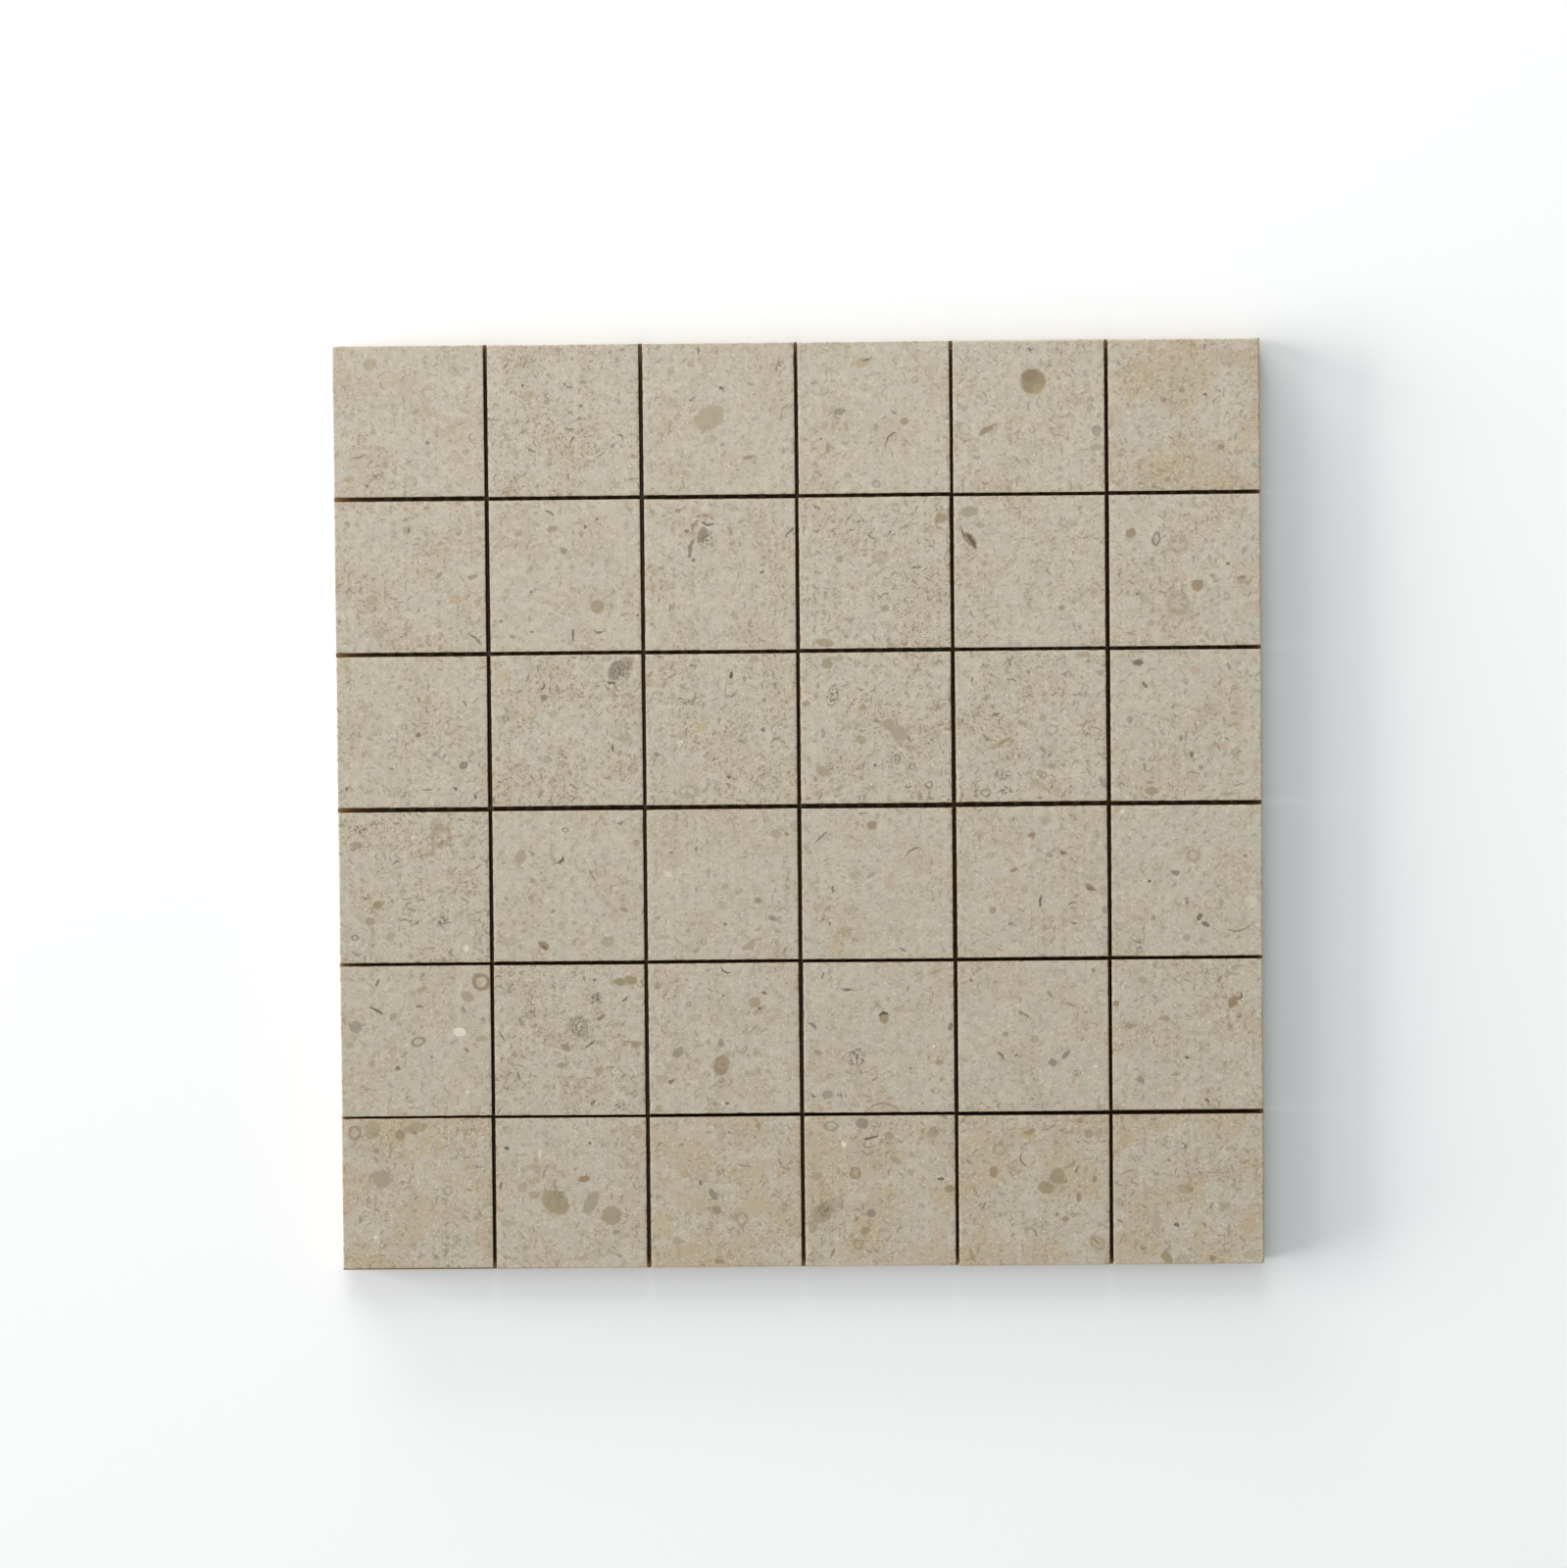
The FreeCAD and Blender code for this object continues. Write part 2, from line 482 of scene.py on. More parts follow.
@dataclass(frozen=True)
class Scatter:
    """Grains strewn over the stone, at most one in each cell.

    Attributes:
        cell: Millimetres between cells.
        share: Share of cells that hold a grain.
        small: Radius of the smallest in millimetres.
        large: Radius of the largest.
        soft: How soft the rim is, as a share of the radius.
    """

    cell: float
    share: float
    small: float
    large: float
    soft: float

    def cells(self, shader: Shader, place: Value) -> tuple[Value, Value, Value, Value, Value]:
        """Lay out the cells.

        Args:
            shader: The stone's shader.
            place: Place on the sheet in millimetres.

        Returns:
            Distance to the cell's point in millimetres, three random numbers, and the point.
        """
        settings = {"voronoi_dimensions": "2D", "feature": "F1"}
        distance = shader.add("ShaderNodeTexVoronoi", settings, {"Vector": place, "Scale": 1 / self.cell})
        node = distance.socket.node
        chance, size, turn = Value(shader, node.outputs["Color"]).parts()
        return distance * self.cell, chance, size, turn, Value(shader, node.outputs["Position"])

    def reach(self, size: Value) -> Value:
        """Radius of a grain in millimetres, from a random number."""
        return self.small + size * (self.large - self.small)

    def dots(self, distance: Value, chance: Value, size: Value) -> Value:
        """Work out how far round grains cover the stone.

        Args:
            distance: Distance to the cell's point.
            chance: A random number for each cell.
            size: Another.

        Returns:
            The cover, from 0 to 1.
        """
        return (distance / self.reach(size)).ease(1.0, 1.0 - self.soft) * chance.above(1.0 - self.share)

    def turned(self, shader: Shader, place: Value) -> "tuple[Value, Value, Value, Value]":
        """Lay out cells whose grains are each turned their own way.

        Args:
            shader: The stone's shader.
            place: Place on the sheet in millimetres.

        Returns:
            Place along and across the grain as shares of its reach, a random number, and one where the
            cell holds a grain.
        """
        _, chance, size, turn, middle = self.cells(shader, place)
        near = shader.add("ShaderNodeVectorRotate", {"rotation_type": "Z_AXIS"}, {
            "Vector": place - middle,
            "Angle": turn * math.tau,
        })
        along, off, _ = near.parts()
        reach = self.reach(size)
        return along / reach, off / reach, turn, chance.above(1.0 - self.share)

    def bent_shells(self, shader: Shader, place: Value) -> Value:
        """Strew short bowed shell sections.

        Args:
            shader: The stone's shader.
            place: Place on the sheet in millimetres.

        Returns:
            Their cover, from 0 to 1.
        """
        along, off, turn, there = self.turned(shader, place)
        off = off + (along * along - 0.4) * (turn - 0.3) * 0.7
        return abs(off).ease(0.3, 0.1) * abs(along).ease(1.0, 0.6) * there

    def ovals(self, shader: Shader, place: Value) -> "tuple[Value, Value]":
        """Strew oval grains.

        Args:
            shader: The stone's shader.
            place: Place on the sheet in millimetres.

        Returns:
            Their cover, from 0 to 1, and a random number for each.
        """
        along, off, turn, there = self.turned(shader, place)
        flatness = 1.3 + 0.9 * turn
        off = off * flatness
        return (along * along + off * off).ease(1.0, 1.0 - self.soft) * there, turn


@dataclass(frozen=True)
class Texture:
    """The noises that one chip's print is drawn with.

    Attributes:
        rough: Place on the face in millimetres, with a wobble that roughens outlines.
        up: Place up the sheet in millimetres.
        cloud: Large clouds.
        hue: Slow changes of hue.
        mottle: Mottles of a few millimetres.
        crumb: Crumbs.
        grit: How gritty the stone is from place to place.
    """

    rough: Value
    up: Value
    cloud: Value
    hue: Value
    mottle: Value
    crumb: Value
    grit: Value


@dataclass(frozen=True)
class Limestone:
    """The printed limestone of the face, over the porcelain body of the sides and back.

    All sizes are in millimetres.

    Attributes:
        face: Height of the printed face.
        back: Height of the back's edge; below it the body is as it was fired.
        sheet_half: Distance from the sheet's middle at which its outer, uncut sides begin.
        print_depth: How far down the print's colour goes at the outer rim.
        cut_print_depth: How far down it goes where the saw went through it; below it the softened sawn edge
            takes the cut sides' darker colour, with its painted shade.
        cloud_size: Size of the clouds.
        hue_size: Size of the changes of hue.
        warm_size: Size of the warm stains.
        mottle_size: Size of the mottles.
        crumb_size: Size of the crumbs.
        wobble_size: Size of the wobble of outlines.
        wobble_reach: How far the wobble goes.
        grain_size: Size of the body's grain.
        kiln_size: Size of the body's slow changes.
        saw_size: Distance between the saw's scratches.
        saw_stretch: How the scratches are drawn out along the cut.
        saw_depth: How deep they are.
        grain_depth: How deep the grain is.
        salt: How much of the body's grain shows in the print.
        calm: How much of the plain ground shows through the grains.
    """

    face: float
    back: float = 0.8
    sheet_half: float = 149.2
    print_depth: float = 0.5
    cut_print_depth: float = 0.015
    cloud_size: float = 16.0
    hue_size: float = 11.0
    warm_size: float = 17.0
    mottle_size: float = 2.8
    crumb_size: float = 0.9
    wobble_size: float = 1.6
    wobble_reach: float = 1.1
    grain_size: float = 0.4
    kiln_size: float = 5.0
    saw_size: float = 0.3
    saw_stretch: Triple = (0.06, 0.06, 1.0)
    saw_depth: float = 0.05
    grain_depth: float = 0.02
    salt: float = 0.06
    calm: float = 0.13
    grains: Scatter = Scatter(cell=1.0, share=0.42, small=0.14, large=0.42, soft=0.45)
    chips: Scatter = Scatter(cell=2.1, share=0.5, small=0.35, large=0.8, soft=0.4)
    pebbles: Scatter = Scatter(cell=3.3, share=0.5, small=0.5, large=1.3, soft=0.3)
    blobs: Scatter = Scatter(cell=6.5, share=0.5, small=1.0, large=2.6, soft=0.25)
    shells: Scatter = Scatter(cell=3.6, share=0.5, small=0.7, large=1.7, soft=0.4)
    shards: Scatter = Scatter(cell=1.8, share=0.26, small=0.3, large=0.75, soft=0.4)

    def texture(self, shader: Shader, place: Value, stone: Stone) -> Texture:
        """Make the noises of the print. The numbers added to a place keep two noises from lining up.

        Args:
            shader: The chip's shader.
            place: Place on the sheet in millimetres.
            stone: What this piece of the print is like.

        Returns:
            The noises.
        """
        flat = place * (1.0, 1.0, 0.0)
        wobble = shader.noise(flat, self.wobble_size, 2.0, "Color") - 0.5
        rough = flat + wobble * self.wobble_reach
        cloud = shader.noise(flat, self.cloud_size, 3.0)
        hue = shader.noise(flat + 70.0, self.hue_size, 2.0)
        mottle = shader.noise(rough, self.mottle_size, 2.0)
        crumb = shader.noise(rough + 50.0, self.crumb_size, 2.0)
        grit = cloud.ease(0.36, 0.62) * (0.3 + 0.7 * stone.grit) + 0.55 * stone.grit
        return Texture(rough, flat.parts()[1], cloud, hue, mottle, crumb, grit)

    def ground(self, shader: Shader, texture: Texture, stone: Stone) -> Value:
        """Colour the stone between its grains.

        Args:
            shader: The chip's shader.
            texture: The noises.
            stone: What this piece of the print is like.

        Returns:
            The colour.
        """
        colour = shader.mix(texture.hue.ease(0.38, 0.62), Tone.GREEN_BEIGE, Tone.ROSE_BEIGE)
        colour = shader.mix(texture.cloud.ease(0.46, 0.64, 0.0, 0.3), colour, Tone.SAND)
        colour = shader.mix(texture.mottle.ease(0.5, 0.7, 0.0, 0.22), colour, Tone.GREY_TAN)
        colour = shader.mix(texture.mottle.ease(0.48, 0.3, 0.0, 0.2), colour, Tone.PALE)
        # Painted shade: the print turns greyer and darker towards the bottom of the sheet, as the light falls
        # off there
        colour = shader.mix(texture.up.ease(150.0, -160.0, 0.0, 0.2), colour, Tone.GREY_TAN)
        if stone.warmth:
            warm = shader.noise(texture.rough + 90.0, self.warm_size, 3.0)
            colour = shader.mix(warm.ease(0.44, 0.6, 0.0, stone.warmth), colour, Tone.SAND)
        return colour

    def with_grains(self, shader: Shader, texture: Texture, ground: Value) -> Value:
        """Strew the grains and shells over the ground, from the largest to the smallest.

        Args:
            shader: The chip's shader.
            texture: The noises.
            ground: The stone's colour between its grains.

        Returns:
            The colour.
        """
        rough, grit = texture.rough, texture.grit
        clusters = texture.mottle.ease(0.4, 0.58, 0.3, 1.0)
        specks = texture.crumb.ease(0.58, 0.66) * clusters * (0.08 + 0.42 * grit)
        tone = shader.mix(texture.hue.ease(0.4, 0.6), Tone.GREY, Tone.BROWN)
        colour = shader.mix(specks, ground, tone)

        blob, turn = self.blobs.ovals(shader, rough)
        colour = shader.mix(blob * (0.12 + 0.34 * turn), colour, Tone.TAN)
        pebble, turn = self.pebbles.ovals(shader, rough)
        tone = shader.mix(turn.ease(0.35, 0.65), Tone.BROWN, Tone.GREY)
        colour = shader.mix(pebble * (0.16 + 0.34 * turn + 0.14 * grit), colour, tone)
        chip, turn = self.chips.ovals(shader, rough + 40.0)
        colour = shader.mix(chip * (0.16 + 0.34 * turn + 0.2 * grit), colour, Tone.BROWN)

        distance, chance, size, turn, _ = self.grains.cells(shader, rough)
        grain = self.grains.dots(distance, chance, size)
        colour = shader.mix(grain * turn * grit * 0.6, colour, Tone.GRAIN)
        pale = (distance / 0.45).ease(1.0, 0.3) * (0.2 - chance).above(0.0)
        colour = shader.mix(pale * 0.6, colour, Tone.PALE)

        shell = self.shells.bent_shells(shader, rough)
        colour = shader.mix(shell * (0.26 + 0.3 * grit), colour, Tone.GRAIN)
        shard = self.shards.bent_shells(shader, rough + 20.0)
        colour = shader.mix(shard * clusters * (0.06 + 0.4 * grit), colour, Tone.GRAIN)
        return shader.mix(self.calm, colour, ground)

    def print_colour(self, shader: Shader, place: Value, stone: Stone, marks: tuple[Mark, ...]) -> Value:
        """Colour the printed face.

        Args:
            shader: The chip's shader.
            place: Place on the sheet in millimetres.
            stone: What this piece of the print is like.
            marks: Its fossils and stains.

        Returns:
            The colour.
        """
        texture = self.texture(shader, place, stone)
        colour = self.with_grains(shader, texture, self.ground(shader, texture, stone))
        crumbs = texture.crumb.ease(0.47, 0.56)
        for mark in marks:
            cover = mark.cover(shader, texture.rough, crumbs, self.face)
            colour = shader.mix(cover, colour, mark.tone)
        return colour

    def body_colour(self, shader: Shader, place: Value, speckle: Value, inner: Value) -> Value:
        """Colour the porcelain under the print. The saw-cut sides, which line the deep joints, are a darker
        brown: partly the cut body's own colour, partly painted shade.

        Args:
            shader: The chip's shader.
            place: Place on the sheet in millimetres.
            speckle: The body's grain, from 0 to 1.
            inner: One on the saw-cut sides.

        Returns:
            The colour.
        """
        kiln = shader.noise(place, self.kiln_size, 1.0, flat=False)
        body = shader.mix(speckle, Tone.BODY_DARK, Tone.BODY)
        body = shader.mix(kiln.ease(0.4, 0.65, 0.0, 0.35), body, Tone.BODY)
        # Partly painted shade: the saw-cut sides take the darker brown
        return shader.mix(inner, body, shader.mix(speckle, Tone.CUT_DARK_AND_SHADE, Tone.CUT_AND_SHADE))

    def build(self, name: str, stone: Stone, marks: tuple[Mark, ...]) -> bpy.types.Material:
        """Make one chip's material.

        Args:
            name: The material's name.
            stone: What this piece of the print is like.
            marks: Its fossils and stains.

        Returns:
            The material.
        """
        shader = Shader(name)
        place = shader.sheet_place()
        across, up, height = place.parts()
        grain = shader.noise(place, self.grain_size, 2.0, flat=False)
        speckle = grain.ease(0.3, 0.7)
        saw = shader.noise(place * self.saw_stretch, self.saw_size, 2.0, flat=False)

        inner = abs(across).ease(self.sheet_half, self.sheet_half - 0.1)
        inner = inner * abs(up).ease(self.sheet_half, self.sheet_half - 0.1) * height.above(self.back)
        depth = self.print_depth - inner * (self.print_depth - self.cut_print_depth)
        printed = height.ease(self.face - depth * 1.4, self.face - depth)

        colour = self.print_colour(shader, place, stone, marks)
        colour = shader.mix(self.salt, colour, shader.mix(speckle, Tone.GRAIN, Tone.PALE))
        body = self.body_colour(shader, place, speckle, inner)
        relief = shader.bump(grain, self.grain_depth)
        relief = shader.bump(saw * (1.0 - printed), self.saw_depth, relief)
        return shader.surface({
            "Base Color": shader.mix(printed, body, colour),
            "Roughness": grain.ease(0.2, 0.8, 0.5, 0.66),
            "Normal": relief,
        })


# Short names for the forms and tones, which keep the chips' lists of marks readable
S, R, L, P = Form.SPOT, Form.RING, Form.LINE, Form.PATCH
PALE, DARK, GREY, GREY_TAN, TAN = Tone.PALE, Tone.DARK, Tone.GREY, Tone.GREY_TAN, Tone.TAN
BROWN, OLIVE, YELLOW, ORANGE, PINK = Tone.BROWN, Tone.OLIVE, Tone.YELLOW, Tone.ORANGE, Tone.PINK


@dataclass(frozen=True)
class ChipLook:
    """What one chip's piece of the print shows.

    Attributes:
        stone: What the stone is like there.
        marks: The fossils and stains that stand out.
    """

    stone: Stone
    marks: tuple[Mark, ...]


LOOKS: dict[str, ChipLook] = {
    "r1c1": ChipLook(Stone.SMOOTH, (
        Mark(S, 377, 372, 4.4, 4.2, 0, TAN, 0.5), Mark(P, 369, 446, 5.0, 4.0, 20, BROWN, 0.8),
        Mark(S, 436, 452, 1.6, 1.5, 0, GREY, 0.8), Mark(L, 367, 466, 3.8, 0.5, 15, DARK, 0.5),
        Mark(S, 398, 466, 3.4, 1.4, 10, PINK, 0.6), Mark(P, 384, 486, 4.6, 3.4, 35, DARK, 0.8),
        Mark(S, 357, 489, 2.8, 2.2, 0, ORANGE), Mark(L, 482, 447, 4.2, 0.5, 100, BROWN, 0.7, 1.4),
        Mark(S, 475, 461, 2.6, 2.0, 0, TAN, 0.6), Mark(R, 400, 496, 2.4, 2.4, 0, BROWN, 0.4),
        Mark(S, 375, 496, 1.2, 0.9, 0, DARK, 0.6),
    )),
    "r1c2": ChipLook(Stone.GRITTY, (
        Mark(S, 530, 372, 3.2, 1.6, 0, TAN, 0.6), Mark(S, 533, 393, 1.0, 0.8, 0, DARK),
        Mark(S, 538, 404, 4.6, 2.8, 30, TAN, 0.55), Mark(P, 579, 393, 4.0, 3.2, 0, DARK, 0.8),
        Mark(S, 595, 390, 2.0, 1.6, 0, BROWN, 0.6), Mark(S, 593, 414, 1.0, 0.9, 0, DARK, 0.6),
        Mark(L, 584, 449, 2.6, 0.6, 60, DARK, 0.7, 0.7), Mark(L, 633, 446, 3.4, 0.5, -50, DARK, 0.7, 0.9),
        Mark(S, 625, 455, 1.6, 1.3, 0, GREY), Mark(L, 543, 460, 2.4, 0.5, -35, DARK),
        Mark(S, 646, 466, 1.8, 1.4, 0, BROWN, 0.6), Mark(S, 644, 489, 1.6, 1.4, 0, GREY, 0.6),
        Mark(P, 607, 361, 3.4, 2.6, 0, BROWN, 0.6), Mark(S, 518, 500, 2.4, 1.8, 0, TAN, 0.5),
    )),
    "r1c3": ChipLook(Stone.SMOOTH, (
        Mark(L, 713, 358, 2.6, 0.5, 85, DARK, 0.75), Mark(S, 685, 379, 3.8, 1.9, 60, GREY_TAN, 0.55),
        Mark(S, 705, 372, 2.5, 2.0, 0, TAN, 0.55), Mark(P, 795, 372, 5.6, 2.6, 65, DARK, 0.8),
        Mark(S, 736, 396, 1.1, 0.9, 0, DARK), Mark(L, 670, 407, 2.8, 0.5, 40, BROWN, 0.6, 0.8),
        Mark(S, 704, 408, 1.0, 0.9, 0, DARK, 0.65), Mark(S, 724, 426, 10.5, 7.4, 35, TAN, 0.62),
        Mark(S, 725, 448, 5.0, 3.2, 20, TAN, 0.4), Mark(S, 737, 453, 1.6, 1.2, 0, GREY, 0.6),
        Mark(S, 763, 467, 3.8, 1.6, 15, OLIVE, 0.75), Mark(S, 699, 482, 3.0, 2.2, 0, TAN, 0.4),
    )),
    "r1c4": ChipLook(Stone.SMOOTH, (
        Mark(S, 880, 370, 5.0, 3.2, 15, ORANGE), Mark(L, 884, 366, 4.0, 0.5, 10, DARK, 0.6, -0.9),
        Mark(S, 865, 354, 2.4, 1.6, 0, ORANGE), Mark(S, 857, 420, 3.6, 2.2, 10, GREY),
        Mark(S, 923, 430, 2.9, 2.4, 0, BROWN, 0.6), Mark(L, 912, 421, 2.6, 0.5, -40, DARK, 0.5),
        Mark(L, 908, 447, 5.6, 0.6, 50, DARK, 0.75, 0.9), Mark(S, 838, 448, 1.0, 0.9, 0, DARK, 0.6),
        Mark(S, 861, 452, 1.8, 1.3, 0, GREY_TAN, 0.6), Mark(S, 845, 457, 3.1, 1.6, 80, OLIVE, 0.65),
        Mark(P, 834, 485, 4.0, 3.2, 0, BROWN, 0.8), Mark(S, 865, 485, 2.6, 2.0, 0, TAN, 0.5),
        Mark(S, 819, 405, 2.4, 1.8, 0, PINK, 0.6), Mark(R, 894, 494, 2.8, 2.6, 0, GREY, 0.5),
    )),
    "r1c5": ChipLook(Stone.PLAIN, (
        Mark(S, 1054, 389, 8.6, 8.4, 0, BROWN, 0.8), Mark(S, 1051, 383, 5.2, 4.2, 0, DARK, 0.22),
        Mark(S, 1060, 397, 4.0, 3.6, 0, YELLOW, 0.3), Mark(P, 1051, 357, 3.6, 2.2, 0, DARK, 0.8),
        Mark(L, 1089, 382, 4.0, 0.5, -30, BROWN, 0.6), Mark(S, 1006, 439, 5.7, 1.9, 35, BROWN, 0.75),
        Mark(S, 1119, 439, 3.8, 3.1, 80, GREY, 0.55), Mark(S, 1118, 457, 3.8, 2.4, 10, TAN, 0.65),
        Mark(S, 1115, 470, 2.4, 2.0, 0, GREY_TAN, 0.6), Mark(L, 1080, 445, 3.6, 0.5, 10, BROWN, 0.6, 0.8),
        Mark(L, 1098, 409, 4.0, 0.5, -20, PINK, 0.7, 1.0),
    )),
    "r1c6": ChipLook(Stone.WARM, (
        Mark(S, 1187, 359, 3.2, 2.0, 0, ORANGE, 0.65), Mark(S, 1172, 384, 3.0, 2.2, 0, ORANGE, 0.6),
        Mark(P, 1155, 401, 3.4, 3.0, 0, ORANGE, 0.9), Mark(P, 1187, 475, 6.5, 5.0, 0, ORANGE, 0.9),
        Mark(S, 1188, 408, 1.9, 1.6, 0, GREY, 0.75), Mark(S, 1206, 398, 2.0, 1.5, 0, BROWN, 0.65),
        Mark(S, 1192, 489, 2.0, 1.6, 0, BROWN, 0.6), Mark(S, 1246, 456, 2.2, 1.7, 0, BROWN, 0.65),
        Mark(S, 1230, 402, 1.2, 0.9, 0, DARK, 0.65), Mark(S, 1263, 461, 2.6, 2.2, 0, TAN, 0.55),
    )),
    "r2c1": ChipLook(Stone.PLAIN, (
        Mark(S, 415, 541, 2.4, 2.0, 0, GREY_TAN), Mark(L, 417, 541, 2.0, 0.5, 80, DARK, 0.6),
        Mark(S, 402, 534, 2.2, 1.6, 0, ORANGE, 0.6), Mark(S, 456, 561, 2.6, 1.8, 0, ORANGE, 0.65),
        Mark(S, 354, 534, 2.0, 1.6, 0, BROWN, 0.55), Mark(S, 482, 589, 3.2, 1.6, 10, BROWN),
        Mark(S, 465, 612, 3.8, 3.2, 0, ORANGE, 0.6), Mark(S, 379, 612, 3.8, 3.2, 0, TAN, 0.5),
        Mark(S, 385, 647, 3.4, 2.6, 0, TAN, 0.5), Mark(L, 485, 652, 5.6, 0.5, -42, DARK, 0.65, 0.3),
        Mark(L, 356, 603, 3.6, 0.5, 60, BROWN, 0.5, 0.8),
    )),
    "r2c2": ChipLook(Stone.SMOOTH, (
        Mark(L, 561, 523, 3.4, 0.5, -30, DARK, 0.65), Mark(S, 529, 544, 2.5, 2.1, 0, GREY_TAN, 0.65),
        Mark(S, 563, 540, 3.4, 1.8, 15, BROWN, 0.6), Mark(S, 575, 562, 2.2, 2.1, 0, GREY),
        Mark(S, 597, 538, 1.0, 0.8, 0, DARK), Mark(S, 609, 530, 1.1, 0.8, 0, DARK),
        Mark(S, 543, 645, 1.1, 0.9, 0, DARK, 0.65), Mark(S, 542, 604, 1.0, 0.9, 0, DARK, 0.55),
        Mark(S, 511, 634, 1.2, 1.0, 0, DARK, 0.5), Mark(S, 651, 628, 1.0, 1.2, 0, DARK, 0.6),
        Mark(R, 625, 578, 5.6, 5.2, 0, GREY, 0.2), Mark(S, 609, 619, 4.4, 4.3, 0, BROWN, 0.6),
        Mark(L, 585, 648, 4.2, 0.5, 88, DARK), Mark(L, 612, 644, 4.2, 0.5, 0, DARK, 0.65, -1.0),
        Mark(S, 523, 650, 1.8, 1.4, 0, BROWN, 0.6), Mark(L, 638, 614, 2.4, 0.5, 70, BROWN, 0.5, 0.6),
    )),
    "r2c3": ChipLook(Stone.PLAIN, (
        Mark(S, 717, 546, 5.6, 3.4, 72, GREY), Mark(P, 720, 550, 6.0, 5.0, 60, DARK, 0.85),
        Mark(L, 720, 528, 6.6, 0.9, -8, BROWN, 0.8, 1.2), Mark(L, 722, 534, 5.0, 0.7, -12, DARK, 0.7, -0.7),
        Mark(L, 705, 560, 6.4, 1.3, 78, GREY, 0.9, 0.5), Mark(L, 709, 536, 4.6, 0.8, 62, BROWN, 0.8, 0.8),
        Mark(S, 701, 542, 1.9, 1.4, 0, DARK, 0.6), Mark(S, 708, 572, 1.8, 1.3, 0, GREY, 0.8),
        Mark(S, 692, 521, 2.0, 1.5, 0, BROWN), Mark(R, 720, 526, 3.0, 1.9, 10, PINK, 0.9),
        Mark(L, 806, 543, 4.6, 0.5, 42, DARK, 0.65, 0.3), Mark(S, 777, 584, 1.3, 1.0, 0, DARK),
        Mark(P, 737, 607, 4.6, 3.4, 0, YELLOW, 0.9), Mark(S, 765, 635, 1.9, 1.5, 0, GREY, 0.55),
        Mark(S, 807, 634, 1.8, 1.6, 0, GREY, 0.55),
    )),
    "r2c4": ChipLook(Stone.GRITTY, (
        Mark(S, 960, 529, 3.9, 3.6, 0, BROWN, 0.6), Mark(P, 958, 519, 4.0, 2.0, 0, DARK, 0.8),
        Mark(P, 878, 533, 3.4, 3.0, 0, DARK, 0.85), Mark(P, 910, 544, 3.2, 2.6, 0, DARK, 0.85),
        Mark(P, 951, 555, 3.4, 2.6, 0, DARK, 0.85), Mark(L, 889, 548, 3.0, 0.5, -30, DARK, 0.6),
        Mark(S, 856, 570, 2.6, 2.0, 0, OLIVE, 0.6), Mark(S, 899, 569, 5.8, 4.6, 0, TAN, 0.5),
        Mark(L, 935, 579, 4.0, 0.8, 0, DARK, 0.6), Mark(S, 904, 620, 2.4, 1.7, 0, BROWN, 0.65),
        Mark(S, 842, 656, 6.0, 2.6, -5, OLIVE, 0.65),
    )),
    "r2c5": ChipLook(Stone.PLAIN, (
        Mark(S, 989, 522, 5.8, 3.7, 10, GREY_TAN, 0.8), Mark(S, 990, 551, 6.6, 3.0, -55, BROWN, 0.85),
        Mark(L, 991, 552, 6.0, 1.2, -55, DARK, 0.85, 0.5), Mark(L, 982, 543, 3.2, 0.6, -70, DARK),
        Mark(S, 1000, 536, 2.8, 2.0, 0, GREY_TAN), Mark(R, 1004, 612, 4.0, 3.6, 0, PINK, 0.6),
        Mark(S, 1083, 620, 2.2, 1.5, 0, BROWN, 0.65), Mark(P, 1099, 639, 4.0, 3.2, 0, GREY, 0.85),
    )),
    "r2c6": ChipLook(Stone.PLAIN, (
        Mark(S, 1154, 544, 3.6, 3.0, 30, BROWN), Mark(R, 1180, 550, 4.6, 2.3, 80, DARK, 0.55),
        Mark(S, 1222, 597, 4.2, 4.0, 0, BROWN, 0.75), Mark(S, 1237, 587, 1.8, 1.4, 0, BROWN, 0.6),
        Mark(S, 1253, 575, 1.2, 1.0, 0, DARK), Mark(S, 1267, 593, 2.6, 2.2, 0, TAN, 0.6),
        Mark(L, 1267, 589, 2.2, 0.5, 0, DARK, 0.6, 0.3), Mark(L, 1143, 586, 3.2, 0.5, 88, DARK, 0.5, 0.6),
        Mark(S, 1169, 612, 3.0, 2.4, 0, TAN, 0.55), Mark(R, 1202, 616, 7.4, 6.8, 0, GREY_TAN, 0.6),
        Mark(R, 1276, 622, 5.6, 5.2, 0, PINK, 0.5), Mark(R, 1202, 555, 6.2, 5.6, 0, GREY_TAN, 0.45),
        Mark(S, 1160, 606, 1.1, 0.9, 0, DARK, 0.6),
    )),
    "r3c1": ChipLook(Stone.PLAIN, (
        Mark(S, 436, 716, 2.8, 2.4, 0, TAN, 0.55), Mark(S, 372, 723, 3.0, 3.0, 0, GREY_TAN, 0.45),
        Mark(S, 427, 750, 1.9, 1.3, 20, DARK, 0.6), Mark(P, 412, 742, 3.6, 3.0, 0, GREY, 0.8),
        Mark(S, 473, 781, 3.4, 2.2, 25, GREY, 0.85), Mark(S, 400, 785, 1.0, 0.9, 0, DARK, 0.6),
        Mark(S, 465, 805, 1.3, 1.3, 0, DARK), Mark(S, 485, 813, 1.0, 1.5, 0, DARK),
        Mark(L, 354, 805, 1.8, 0.6, 55, DARK), Mark(L, 435, 806, 4.0, 0.5, 0, DARK, 0.55),
        Mark(S, 444, 770, 2.0, 1.6, 0, GREY, 0.6), Mark(L, 453, 773, 2.4, 0.7, 65, GREY),
